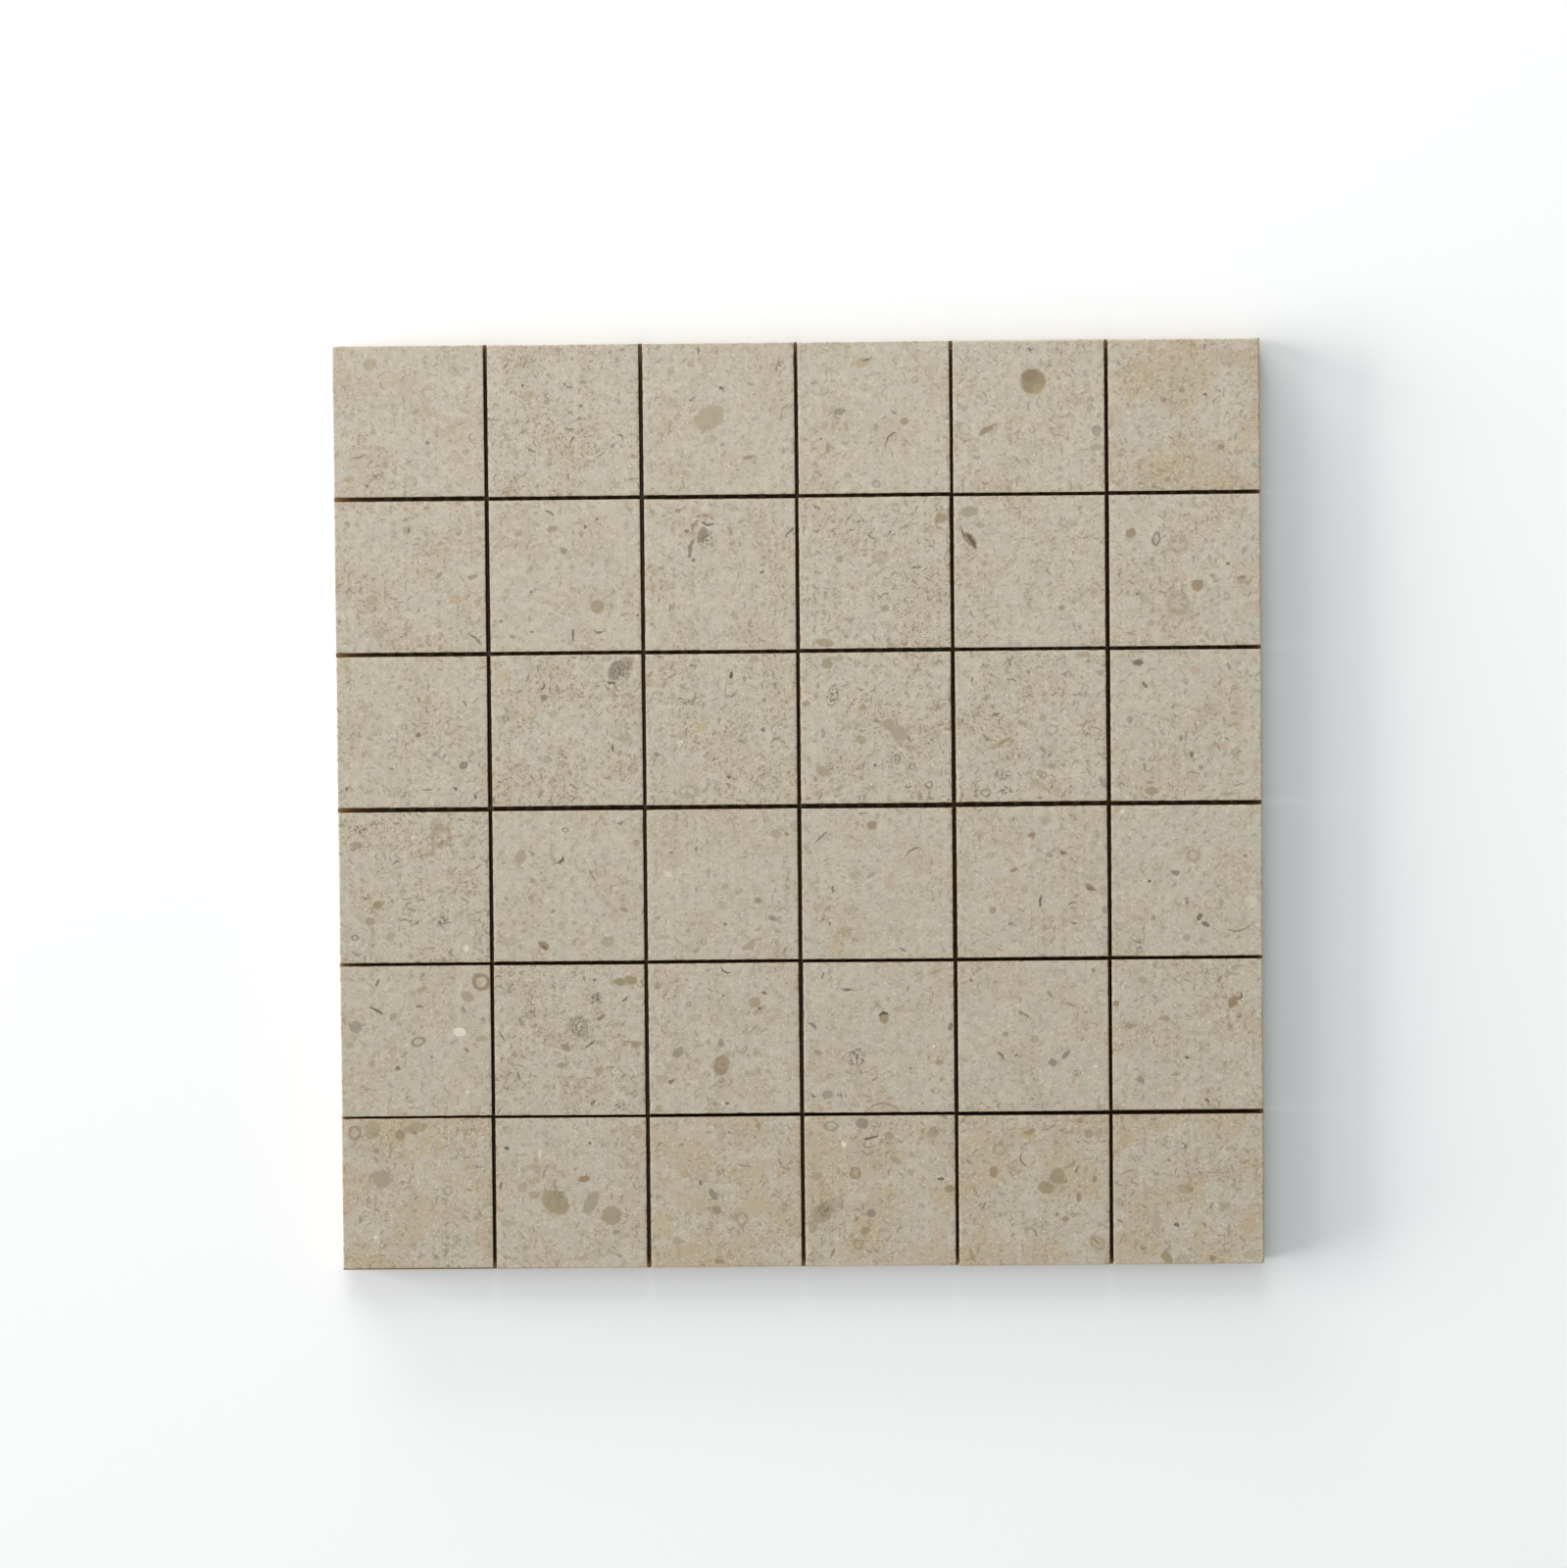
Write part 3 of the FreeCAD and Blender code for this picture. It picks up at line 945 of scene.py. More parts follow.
        Mark(S, 419, 694, 1.5, 1.2, 0, GREY, 0.6), Mark(L, 474, 718, 2.2, 0.5, -60, DARK, 0.6, 0.5),
        Mark(L, 485, 715, 2.6, 0.5, 45, DARK, 0.5), Mark(L, 468, 741, 2.8, 0.5, 0, BROWN, 0.5, -0.6),
        Mark(P, 413, 811, 7.0, 3.6, 0, BROWN, 0.8), Mark(S, 472, 752, 4.2, 3.0, 0, PINK, 0.35),
    )),
    "r3c2": ChipLook(Stone.GRITTY, (
        Mark(S, 629, 684, 7.6, 4.6, 58, GREY, 0.62), Mark(S, 638, 679, 6.4, 4.4, 45, GREY_TAN, 0.75),
        Mark(P, 633, 683, 9.0, 7.4, 50, DARK, 0.95), Mark(P, 642, 676, 5.0, 3.0, 30, BROWN, 0.9),
        Mark(L, 624, 697, 2.8, 0.9, -10, DARK, 0.8), Mark(S, 555, 712, 2.4, 1.6, -10, GREY, 0.95),
        Mark(L, 554, 701, 3.2, 0.5, 60, DARK, 0.7, -0.5), Mark(S, 569, 703, 1.6, 2.8, 0, GREY, 0.6),
        Mark(S, 636, 753, 4.8, 2.8, 0, TAN, 0.55), Mark(S, 625, 763, 1.2, 2.2, 0, DARK, 0.65),
        Mark(S, 559, 775, 2.9, 2.5, 0, GREY_TAN, 0.65), Mark(S, 552, 810, 3.4, 1.5, 60, GREY, 0.6),
        Mark(S, 512, 691, 3.4, 4.6, 0, YELLOW, 0.4), Mark(P, 588, 712, 6.2, 3.2, 0, BROWN, 0.8),
        Mark(P, 516, 732, 3.4, 2.4, 0, DARK), Mark(S, 564, 728, 4.4, 1.6, 0, TAN, 0.5),
        Mark(S, 509, 798, 1.2, 0.8, 0, DARK, 0.6), Mark(S, 540, 799, 1.5, 1.2, 0, GREY, 0.6),
    )),
    "r3c3": ChipLook(Stone.GRITTY, (
        Mark(S, 746, 689, 2.2, 1.1, 85, DARK, 0.95), Mark(S, 760, 692, 1.7, 1.9, 0, GREY, 0.65),
        Mark(S, 770, 673, 3.2, 2.6, 0, GREY_TAN, 0.65), Mark(S, 704, 690, 2.4, 2.0, 0, GREY_TAN, 0.35),
        Mark(S, 672, 707, 2.8, 1.8, 0, TAN, 0.45), Mark(P, 702, 716, 6.4, 2.4, -10, DARK, 0.9),
        Mark(S, 717, 742, 2.8, 2.6, 0, YELLOW, 0.75), Mark(S, 697, 750, 3.5, 3.0, 0, TAN, 0.45),
        Mark(R, 694, 758, 1.8, 1.7, 0, PALE, 0.8), Mark(S, 779, 745, 1.8, 1.5, 0, DARK, 0.55),
        Mark(L, 756, 756, 2.6, 0.9, -15, GREY, 0.55), Mark(P, 762, 743, 5.6, 4.4, 0, OLIVE, 0.9),
        Mark(P, 704, 790, 8.4, 7.0, 0, PINK, 0.9), Mark(R, 702, 808, 6.4, 4.4, 0, OLIVE, 0.45),
        Mark(S, 744, 793, 1.2, 1.1, 0, DARK, 0.75), Mark(S, 670, 770, 1.6, 1.3, 0, DARK, 0.5),
        Mark(S, 790, 715, 7.0, 2.8, 0, PINK, 0.3), Mark(S, 779, 715, 1.6, 1.2, 0, BROWN, 0.6),
        Mark(P, 782, 772, 4.6, 2.6, 30, PINK, 0.9), Mark(L, 792, 754, 3.8, 0.7, 25, DARK, 0.55),
    )),
    "r3c4": ChipLook(Stone.GRITTY, (
        Mark(S, 844, 677, 3.6, 3.7, 0, OLIVE), Mark(S, 853, 672, 5.0, 1.9, 0, OLIVE, 0.45),
        Mark(S, 880, 722, 2.6, 1.6, 0, OLIVE, 0.65), Mark(S, 917, 748, 6.6, 4.6, -50, GREY_TAN, 0.75),
        Mark(S, 907, 739, 3.6, 3.8, 0, TAN, 0.8), Mark(S, 895, 736, 2.2, 1.3, 0, GREY),
        Mark(S, 879, 755, 2.9, 3.1, 0, OLIVE, 0.6), Mark(S, 865, 743, 3.2, 2.8, 0, TAN, 0.35),
        Mark(S, 840, 787, 5.0, 3.0, -20, TAN, 0.8), Mark(P, 850, 710, 8.6, 5.0, 80, DARK, 1.0),
        Mark(S, 840, 748, 1.3, 3.8, 0, GREY, 0.5), Mark(S, 822, 718, 2.6, 2.0, 0, GREY, 0.55),
        Mark(L, 862, 700, 2.3, 0.7, 15, GREY, 0.6), Mark(R, 948, 801, 2.5, 2.3, 0, DARK, 0.5),
        Mark(P, 914, 773, 4.8, 4.8, 0, DARK, 0.8), Mark(S, 893, 781, 1.0, 0.9, 0, DARK, 0.75),
        Mark(R, 931, 782, 2.2, 2.0, 0, DARK, 0.45), Mark(P, 961, 738, 2.6, 2.4, 0, DARK, 0.8),
    )),
    "r3c5": ChipLook(Stone.GRITTY, (
        Mark(S, 1105, 668, 4.6, 1.9, 0, TAN, 0.6), Mark(S, 1123, 686, 2.8, 1.9, 0, GREY, 0.55),
        Mark(R, 1090, 688, 2.6, 2.2, 0, DARK, 0.35), Mark(L, 1033, 694, 3.8, 0.5, -10, DARK, 0.55, 0.5),
        Mark(S, 1016, 729, 2.6, 1.1, 10, DARK, 0.65), Mark(S, 1064, 733, 2.6, 2.2, 0, TAN, 0.4),
        Mark(S, 1019, 759, 9.6, 2.0, 24, TAN, 0.6), Mark(L, 1024, 757, 6.6, 0.7, 24, OLIVE, 0.85),
        Mark(S, 1075, 763, 3.2, 2.6, 0, PINK, 0.55), Mark(P, 1109, 748, 3.0, 2.2, 0, DARK, 0.8),
        Mark(R, 1006, 809, 3.2, 2.4, 0, DARK, 0.4), Mark(P, 1027, 807, 5.0, 3.0, 0, DARK, 0.9),
        Mark(S, 1125, 798, 4.4, 1.8, -60, GREY, 0.6), Mark(S, 1060, 800, 4.6, 2.6, -30, TAN, 0.5),
        Mark(P, 1023, 790, 6.4, 4.4, 0, DARK, 0.8), Mark(L, 992, 694, 1.9, 0.6, 80, DARK, 0.6),
        Mark(P, 1026, 676, 4.2, 3.0, 0, DARK), Mark(R, 1073, 745, 4.2, 3.4, 0, GREY, 0.35),
        Mark(S, 1088, 788, 9.0, 3.8, 0, PALE, 0.3),
    )),
    "r3c6": ChipLook(Stone.PLAIN, (
        Mark(S, 1161, 676, 3.9, 2.3, 0, GREY, 0.95), Mark(S, 1161, 676, 2.8, 1.4, 0, DARK, 0.5),
        Mark(S, 1168, 699, 2.8, 1.3, -60, DARK, 0.65), Mark(S, 1220, 684, 3.8, 2.7, -10, PINK, 0.85),
        Mark(S, 1240, 674, 2.2, 1.2, -60, YELLOW, 0.8), Mark(S, 1254, 680, 2.8, 1.4, -70, GREY, 0.65),
        Mark(R, 1259, 702, 1.7, 1.6, 0, OLIVE, 0.8), Mark(S, 1153, 734, 2.0, 2.3, 0, GREY, 0.6),
        Mark(S, 1248, 761, 2.6, 2.4, 0, PINK, 0.8), Mark(L, 1252, 754, 1.5, 0.6, -40, DARK, 0.6),
        Mark(S, 1216, 770, 1.5, 2.4, 0, DARK, 0.65), Mark(S, 1225, 783, 1.6, 1.4, 0, GREY),
        Mark(L, 1218, 789, 4.6, 0.6, -10, DARK, 0.55, 0.5), Mark(S, 1175, 807, 4.4, 2.6, 0, OLIVE),
        Mark(S, 1252, 810, 5.0, 1.5, 3, OLIVE, 0.5), Mark(S, 1205, 753, 1.0, 2.0, 0, DARK, 0.5),
        Mark(S, 1263, 739, 3.8, 3.2, 0, ORANGE, 0.4), Mark(S, 1232, 724, 9.0, 1.4, 0, TAN, 0.3),
        Mark(S, 1168, 783, 1.3, 2.6, 0, BROWN, 0.6), Mark(S, 1281, 781, 2.0, 6.0, 0, ORANGE, 0.45),
    )),
    "r4c1": ChipLook(Stone.GRITTY, (
        Mark(S, 445, 843, 4.6, 6.0, 0, GREY_TAN, 0.5), Mark(R, 450, 853, 6.4, 7.2, 0, BROWN, 0.35),
        Mark(S, 438, 872, 4.4, 1.6, 12, TAN, 0.75), Mark(S, 385, 924, 3.6, 2.8, 20, OLIVE, 0.85),
        Mark(S, 378, 940, 3.4, 2.8, 0, OLIVE), Mark(S, 380, 951, 1.6, 3.8, 0, OLIVE, 0.35),
        Mark(R, 362, 957, 2.2, 2.0, 0, DARK, 0.6), Mark(P, 453, 941, 4.8, 4.8, 0, DARK, 0.95),
        Mark(S, 476, 968, 2.0, 1.8, 0, PALE, 0.8), Mark(L, 425, 942, 2.4, 0.6, 40, DARK, 0.6),
        Mark(P, 368, 847, 5.6, 3.2, 0, DARK, 0.85), Mark(S, 364, 863, 3.8, 2.6, 0, GREY, 0.5),
        Mark(S, 421, 855, 1.3, 1.2, 0, PALE, 0.8), Mark(L, 415, 939, 5.0, 0.5, -4, DARK, 0.5),
        Mark(L, 404, 880, 2.8, 0.6, 30, DARK, 0.6, 0.5), Mark(S, 480, 938, 2.6, 2.2, 0, TAN, 0.4),
        Mark(P, 380, 963, 3.4, 3.0, 0, BROWN, 0.9), Mark(S, 398, 956, 3.4, 2.8, 0, GREY_TAN, 0.4),
    )),
    "r4c2": ChipLook(Stone.SMOOTH, (
        Mark(S, 531, 875, 5.0, 3.8, 65, GREY_TAN, 0.75), Mark(L, 572, 878, 3.6, 0.8, 50, DARK, 0.9, -0.8),
        Mark(R, 577, 847, 2.0, 1.8, 0, GREY, 0.8), Mark(S, 555, 965, 4.2, 2.3, -35, BROWN, 0.9),
        Mark(L, 556, 967, 2.8, 0.8, -50, DARK), Mark(S, 620, 961, 4.0, 3.9, 0, GREY_TAN),
        Mark(S, 542, 916, 2.0, 1.8, 0, BROWN, 0.6), Mark(S, 517, 917, 1.6, 1.4, 0, BROWN, 0.55),
        Mark(S, 543, 898, 1.6, 1.4, 0, BROWN, 0.5), Mark(S, 564, 930, 1.7, 1.5, 0, GREY, 0.6),
        Mark(S, 637, 928, 2.8, 1.7, -30, BROWN, 0.6), Mark(L, 604, 893, 5.2, 0.5, -62, BROWN, 0.65),
        Mark(L, 618, 889, 3.8, 0.5, 88, BROWN, 0.4), Mark(S, 539, 838, 2.8, 1.7, 0, TAN, 0.45),
        Mark(S, 633, 840, 1.9, 1.3, 0, DARK, 0.5), Mark(S, 607, 849, 2.3, 2.0, 0, GREY_TAN, 0.5),
        Mark(S, 650, 860, 2.6, 2.4, 0, BROWN, 0.45), Mark(S, 520, 961, 5.2, 3.0, 0, TAN, 0.4),
        Mark(S, 573, 945, 2.6, 3.2, 0, TAN, 0.45),
    )),
    "r4c3": ChipLook(Stone.SMOOTH, (
        Mark(S, 792, 851, 3.5, 2.9, 0, GREY_TAN, 0.65), Mark(S, 803, 851, 1.8, 1.5, 0, BROWN, 0.75),
        Mark(S, 811, 843, 2.6, 3.8, 0, OLIVE, 0.35), Mark(S, 740, 905, 2.2, 2.0, 0, TAN, 0.65),
        Mark(S, 774, 919, 2.3, 1.6, -20, GREY, 0.75), Mark(S, 788, 937, 2.2, 1.8, -20, GREY, 0.8),
        Mark(S, 738, 925, 2.9, 2.4, 0, TAN, 0.45), Mark(S, 764, 966, 4.8, 2.4, 15, TAN, 0.75),
        Mark(S, 682, 892, 2.4, 2.0, 0, PALE, 0.6), Mark(S, 723, 891, 1.2, 3.8, 0, GREY, 0.4),
        Mark(P, 712, 867, 3.0, 2.4, 0, DARK, 0.8), Mark(S, 685, 870, 0.9, 0.8, 0, DARK, 0.65),
        Mark(S, 740, 943, 1.1, 1.4, 0, DARK, 0.55), Mark(S, 671, 937, 2.6, 1.2, 0, GREY, 0.55),
        Mark(R, 718, 961, 2.0, 1.8, 0, GREY, 0.55), Mark(S, 677, 956, 3.8, 2.2, 0, OLIVE, 0.35),
        Mark(L, 759, 874, 3.2, 0.5, 10, GREY, 0.5, -0.6), Mark(S, 801, 969, 1.3, 2.2, 0, BROWN, 0.6),
    )),
    "r4c4": ChipLook(Stone.SMOOTH, (
        Mark(S, 890, 842, 3.4, 2.8, 10, BROWN, 0.75), Mark(S, 880, 830, 4.0, 0.9, 0, OLIVE, 0.65),
        Mark(S, 909, 901, 4.6, 5.6, 0, PINK), Mark(S, 914, 899, 2.4, 3.0, 0, Tone.BEIGE, 0.6),
        Mark(S, 872, 893, 4.4, 2.6, 0, TAN, 0.45), Mark(P, 939, 882, 8.8, 8.6, 0, PINK, 1.0),
        Mark(R, 937, 880, 3.0, 2.6, 0, PINK, 0.6), Mark(L, 931, 868, 5.6, 0.6, 30, DARK, 0.6, 0.8),
        Mark(L, 838, 854, 5.0, 0.6, 45, DARK, 0.6), Mark(S, 863, 951, 3.5, 4.0, 0, TAN, 0.55),
        Mark(S, 850, 965, 3.8, 3.6, 0, YELLOW, 0.4), Mark(S, 850, 907, 1.1, 2.3, 0, DARK, 0.6),
        Mark(S, 889, 893, 3.4, 1.6, 30, GREY, 0.5), Mark(P, 874, 905, 3.8, 3.8, 0, BROWN),
        Mark(P, 903, 950, 6.4, 2.6, 0, ORANGE, 0.8), Mark(S, 847, 942, 1.0, 0.9, 0, DARK, 0.75),
        Mark(L, 840, 937, 3.0, 0.7, 50, DARK, 0.5), Mark(L, 921, 969, 2.6, 0.8, -25, DARK, 0.6),
        Mark(S, 971, 931, 1.7, 1.6, 0, ORANGE, 0.9), Mark(S, 832, 925, 2.0, 3.2, 0, TAN, 0.5),
    )),
    "r4c5": ChipLook(Stone.SMOOTH, (
        Mark(S, 1053, 852, 2.7, 1.6, 20, BROWN, 0.85), Mark(S, 1067, 837, 3.2, 2.8, 0, TAN, 0.5),
        Mark(S, 1085, 870, 2.6, 1.3, -12, DARK, 0.65), Mark(S, 1071, 872, 2.2, 2.0, 0, GREY, 0.5),
        Mark(S, 1034, 888, 2.9, 1.3, 25, BROWN, 0.75), Mark(S, 1113, 906, 3.9, 2.0, -25, GREY, 0.8),
        Mark(L, 1113, 907, 3.0, 0.6, -30, DARK, 0.6), Mark(L, 1062, 919, 4.2, 0.8, 82, DARK, 0.85, 0.5),
        Mark(S, 1046, 908, 2.6, 3.2, 0, TAN, 0.5), Mark(S, 1013, 929, 2.3, 2.0, 0, BROWN, 0.6),
        Mark(S, 1126, 908, 2.3, 3.8, 0, TAN, 0.45), Mark(S, 1127, 929, 2.0, 2.6, 0, GREY, 0.55),
        Mark(S, 1022, 898, 5.0, 2.6, 0, ORANGE, 0.4), Mark(L, 1094, 922, 3.2, 0.6, 20, DARK, 0.6, 0.5),
        Mark(S, 1096, 942, 1.9, 1.0, -15, DARK, 0.6), Mark(P, 1034, 943, 3.8, 2.0, 0, DARK, 0.9),
        Mark(P, 1068, 945, 3.0, 2.4, 0, DARK, 0.8), Mark(P, 1119, 853, 3.4, 4.0, 0, BROWN),
        Mark(L, 1012, 872, 4.4, 0.6, 0, TAN, 0.5, 0.9), Mark(L, 1092, 865, 3.4, 0.5, 25, BROWN, 0.5, 0.4),
        Mark(S, 1034, 836, 1.0, 0.9, 0, BROWN),
    )),
    "r4c6": ChipLook(Stone.SMOOTH, (
        Mark(S, 1199, 890, 2.9, 1.8, -10, GREY, 0.95), Mark(S, 1218, 873, 4.2, 3.8, 0, PINK, 0.45),
        Mark(R, 1218, 873, 4.4, 3.9, 0, BROWN, 0.4), Mark(S, 1173, 899, 1.0, 1.0, 0, DARK, 0.85),
        Mark(S, 1246, 921, 1.8, 3.0, 0, TAN), Mark(S, 1224, 936, 2.6, 1.8, 60, DARK),
        Mark(S, 1230, 943, 3.2, 1.4, -25, DARK), Mark(L, 1265, 947, 9.4, 0.7, 12, BROWN, 0.75, -1.6),
        Mark(S, 1271, 873, 1.3, 1.2, 0, BROWN), Mark(S, 1229, 849, 1.8, 1.7, 0, GREY, 0.45),
        Mark(L, 1175, 865, 2.9, 0.9, 30, PINK), Mark(S, 1211, 957, 2.4, 3.0, 0, GREY, 0.4),
        Mark(S, 1226, 960, 2.2, 2.2, 0, GREY, 0.4), Mark(P, 1212, 919, 2.6, 2.4, 0, DARK, 0.8),
        Mark(S, 1177, 936, 1.9, 1.6, 0, GREY, 0.6), Mark(P, 1189, 931, 3.0, 2.6, 0, BROWN, 0.9),
        Mark(S, 1145, 828, 1.3, 1.6, 0, PALE, 0.8), Mark(P, 1162, 965, 3.4, 4.8, 0, DARK, 0.8),
        Mark(S, 1276, 920, 4.4, 3.8, 0, PALE, 0.35),
    )),
    "r5c1": ChipLook(Stone.SMOOTH, (
        Mark(S, 385, 1003, 2.8, 1.2, 60, GREY, 0.95), Mark(L, 379, 1008, 4.6, 0.5, -55, BROWN, 0.45, 0.8),
        Mark(L, 384, 1031, 5.0, 0.8, -28, DARK, 0.8), Mark(S, 363, 1048, 4.0, 4.2, 0, GREY, 0.6),
        Mark(S, 401, 1037, 2.6, 2.2, 0, GREY, 0.5), Mark(L, 428, 1027, 2.6, 0.9, -10, DARK, 0.6),
        Mark(S, 431, 1010, 3.5, 2.2, 20, TAN), Mark(S, 477, 1017, 4.6, 3.4, -30, GREY_TAN, 0.85),
        Mark(R, 491, 1002, 5.6, 5.4, 0, BROWN, 0.8), Mark(R, 427, 1063, 4.8, 2.8, 15, OLIVE, 0.95),
        Mark(S, 469, 1053, 4.2, 3.0, -10, PALE, 0.9), Mark(S, 491, 1060, 4.4, 2.4, 5, OLIVE, 0.45),
        Mark(S, 473, 1030, 2.0, 1.6, -50, GREY, 0.65), Mark(S, 493, 1040, 1.6, 1.4, 0, GREY),
        Mark(S, 379, 1085, 2.2, 2.0, 0, GREY_TAN, 0.75), Mark(S, 406, 1090, 1.2, 1.9, 0, DARK, 0.65),
        Mark(S, 357, 1067, 2.6, 2.2, 0, GREY_TAN, 0.6), Mark(S, 476, 1072, 1.7, 0.9, -35, DARK, 0.6),
        Mark(S, 441, 1079, 1.0, 0.9, 0, DARK, 0.6), Mark(S, 477, 1114, 1.5, 1.4, 0, PALE, 0.85),
        Mark(S, 415, 1120, 1.2, 1.3, 0, GREY, 0.65), Mark(L, 413, 1076, 3.4, 0.5, 50, DARK, 0.45),
    )),
    "r5c2": ChipLook(Stone.GRITTY, (
        Mark(S, 633, 1002, 4.2, 2.6, 5, OLIVE, 0.9), Mark(S, 644, 1000, 4.2, 2.8, -10, OLIVE, 0.85),
        Mark(P, 607, 1019, 6.4, 4.4, 0, DARK, 1.0), Mark(P, 591, 1048, 6.4, 7.6, 0, DARK, 0.9),
        Mark(R, 590, 1047, 6.0, 6.8, 0, GREY, 0.4), Mark(S, 614, 1038, 3.4, 1.4, 30, DARK, 0.6),
        Mark(P, 541, 1034, 4.0, 3.6, 0, DARK), Mark(S, 577, 1069, 3.3, 2.4, -30, GREY, 0.75),
        Mark(L, 602, 1066, 4.8, 0.7, 40, DARK, 0.8), Mark(S, 565, 1065, 2.8, 2.6, 0, PINK, 0.5),
        Mark(S, 649, 1066, 2.8, 2.4, 0, BROWN, 0.65), Mark(S, 573, 1087, 4.0, 1.6, 5, OLIVE, 0.65),
        Mark(S, 611, 1092, 3.5, 2.7, 10, TAN, 0.75), Mark(S, 607, 1000, 1.2, 1.1, 0, DARK),
        Mark(S, 520, 1012, 1.7, 1.4, 0, GREY, 0.6), Mark(L, 512, 1057, 4.6, 0.5, -62, DARK, 0.5),
        Mark(L, 529, 1098, 3.4, 0.6, -80, DARK, 0.6), Mark(P, 633, 1129, 5.2, 3.4, 0, DARK, 1.0),
        Mark(S, 605, 1125, 2.0, 1.2, 60, DARK, 0.6), Mark(L, 638, 1020, 2.6, 0.6, 40, DARK),
        Mark(S, 522, 1107, 2.6, 2.2, 0, PINK, 0.45),
    )),
    "r5c3": ChipLook(Stone.SMOOTH, (
        Mark(S, 770, 1023, 3.8, 3.6, 0, TAN, 0.9), Mark(S, 775, 1029, 1.0, 0.9, 0, DARK, 0.8),
        Mark(S, 736, 1087, 6.8, 5.2, 70, BROWN, 0.8), Mark(R, 738, 1086, 3.6, 3.0, 0, GREY_TAN),
        Mark(S, 742, 1076, 3.2, 2.2, 60, TAN, 0.5), Mark(P, 737, 1103, 3.0, 3.4, 0, BROWN, 0.9),
        Mark(S, 736, 1064, 2.0, 2.8, 0, GREY, 0.65), Mark(S, 692, 1073, 4.2, 2.6, 45, GREY, 0.65),
        Mark(S, 684, 1086, 3.6, 2.0, 50, GREY_TAN, 0.35), Mark(S, 675, 1101, 3.8, 3.2, 0, TAN, 0.4),
        Mark(S, 685, 1104, 2.0, 1.2, 25, DARK, 0.65), Mark(S, 671, 1006, 2.0, 2.6, 0, GREY, 0.55),
        Mark(L, 740, 990, 4.4, 0.6, -35, DARK, 0.75, -1.2), Mark(S, 738, 1016, 0.9, 1.0, 0, DARK, 0.8),
        Mark(L, 780, 1013, 2.0, 0.6, -10, DARK, 0.65), Mark(R, 702, 1025, 1.7, 1.8, 0, DARK, 0.5),
        Mark(S, 710, 1039, 3.4, 2.8, 0, TAN, 0.4), Mark(L, 760, 1071, 3.8, 0.5, 60, BROWN, 0.5, -1.0),
        Mark(S, 742, 1126, 1.3, 1.1, 0, DARK, 0.75), Mark(S, 730, 1126, 1.8, 1.2, 0, GREY, 0.65),
        Mark(S, 672, 1131, 2.3, 2.4, 0, OLIVE, 0.5),
    )),
    "r5c4": ChipLook(Stone.SMOOTH, (
        Mark(S, 902, 1039, 2.8, 3.8, 0, BROWN, 0.75), Mark(L, 902, 1035, 3.2, 1.3, 10, DARK, 0.9, 1.2),
        Mark(L, 866, 1010, 4.4, 0.8, -5, DARK), Mark(L, 840, 995, 2.3, 0.8, 80, DARK),
        Mark(L, 829, 1047, 3.8, 0.9, -35, DARK, 0.6, 0.8), Mark(S, 835, 1074, 3.2, 1.8, -5, BROWN, 0.55),
        Mark(S, 844, 1117, 3.5, 2.8, 0, GREY, 0.6), Mark(P, 859, 1117, 3.8, 2.8, 0, DARK, 0.9),
        Mark(L, 830, 1118, 2.0, 0.6, -25, DARK, 0.6), Mark(S, 959, 1084, 2.9, 1.9, 0, OLIVE, 0.65),
        Mark(L, 901, 1130, 11.4, 0.8, 0, OLIVE, 0.95, 2.6), Mark(P, 874, 1079, 7.0, 7.6, 0, DARK, 0.9),
        Mark(S, 929, 1090, 1.2, 1.0, 0, DARK, 0.65), Mark(S, 970, 1047, 1.8, 2.6, 0, DARK, 0.6),
        Mark(S, 893, 1101, 1.9, 0.8, 20, DARK, 0.6), Mark(S, 953, 1068, 1.0, 0.9, 0, PALE, 0.9),
        Mark(L, 896, 1026, 3.8, 0.5, -38, BROWN, 0.5), Mark(R, 955, 1113, 2.6, 2.2, 0, OLIVE, 0.4),
    )),
    "r5c5": ChipLook(Stone.SMOOTH, (
        Mark(S, 991, 1000, 1.3, 1.2, 0, BROWN, 0.95), Mark(S, 1071, 1014, 2.6, 1.2, -50, GREY),
        Mark(L, 1092, 1025, 3.4, 0.9, -25, GREY, 0.75), Mark(L, 1045, 1035, 4.6, 0.9, -30, BROWN, 0.8),
        Mark(S, 1088, 1076, 4.2, 1.6, 52, GREY, 0.8), Mark(S, 1056, 1060, 2.9, 2.6, 0, GREY, 0.4),
        Mark(S, 1026, 1055, 1.8, 1.6, 0, GREY, 0.65), Mark(S, 1074, 1084, 2.8, 2.4, 0, GREY, 0.8),
        Mark(L, 1021, 1077, 3.4, 0.8, -45, DARK, 0.7, 0.5), Mark(S, 1037, 1077, 1.5, 1.2, 0, DARK, 0.55),
        Mark(P, 1099, 1095, 3.2, 2.8, 0, DARK, 0.95), Mark(R, 1085, 1052, 4.2, 3.2, 0, PINK, 0.5),
        Mark(S, 997, 1051, 1.6, 4.4, 0, PINK, 0.5), Mark(S, 1093, 1108, 2.9, 1.6, -15, PINK),
        Mark(L, 1020, 1128, 2.6, 0.5, 70, DARK, 0.5, 0.8), Mark(S, 1116, 990, 1.5, 1.0, -30, DARK, 0.55),
        Mark(L, 1050, 1094, 3.4, 0.7, 10, PINK), Mark(S, 1118, 1088, 0.9, 0.9, 0, PALE, 0.9),
    )),
    "r5c6": ChipLook(Stone.PLAIN, (
        Mark(S, 1258, 1022, 4.2, 3.0, 65, BROWN, 0.95), Mark(L, 1265, 1017, 3.2, 0.8, 60, DARK, 0.8, -0.9),
        Mark(S, 1244, 999, 2.4, 1.3, 60, OLIVE, 0.85), Mark(S, 1139, 1024, 2.2, 1.9, 0, BROWN, 0.8),
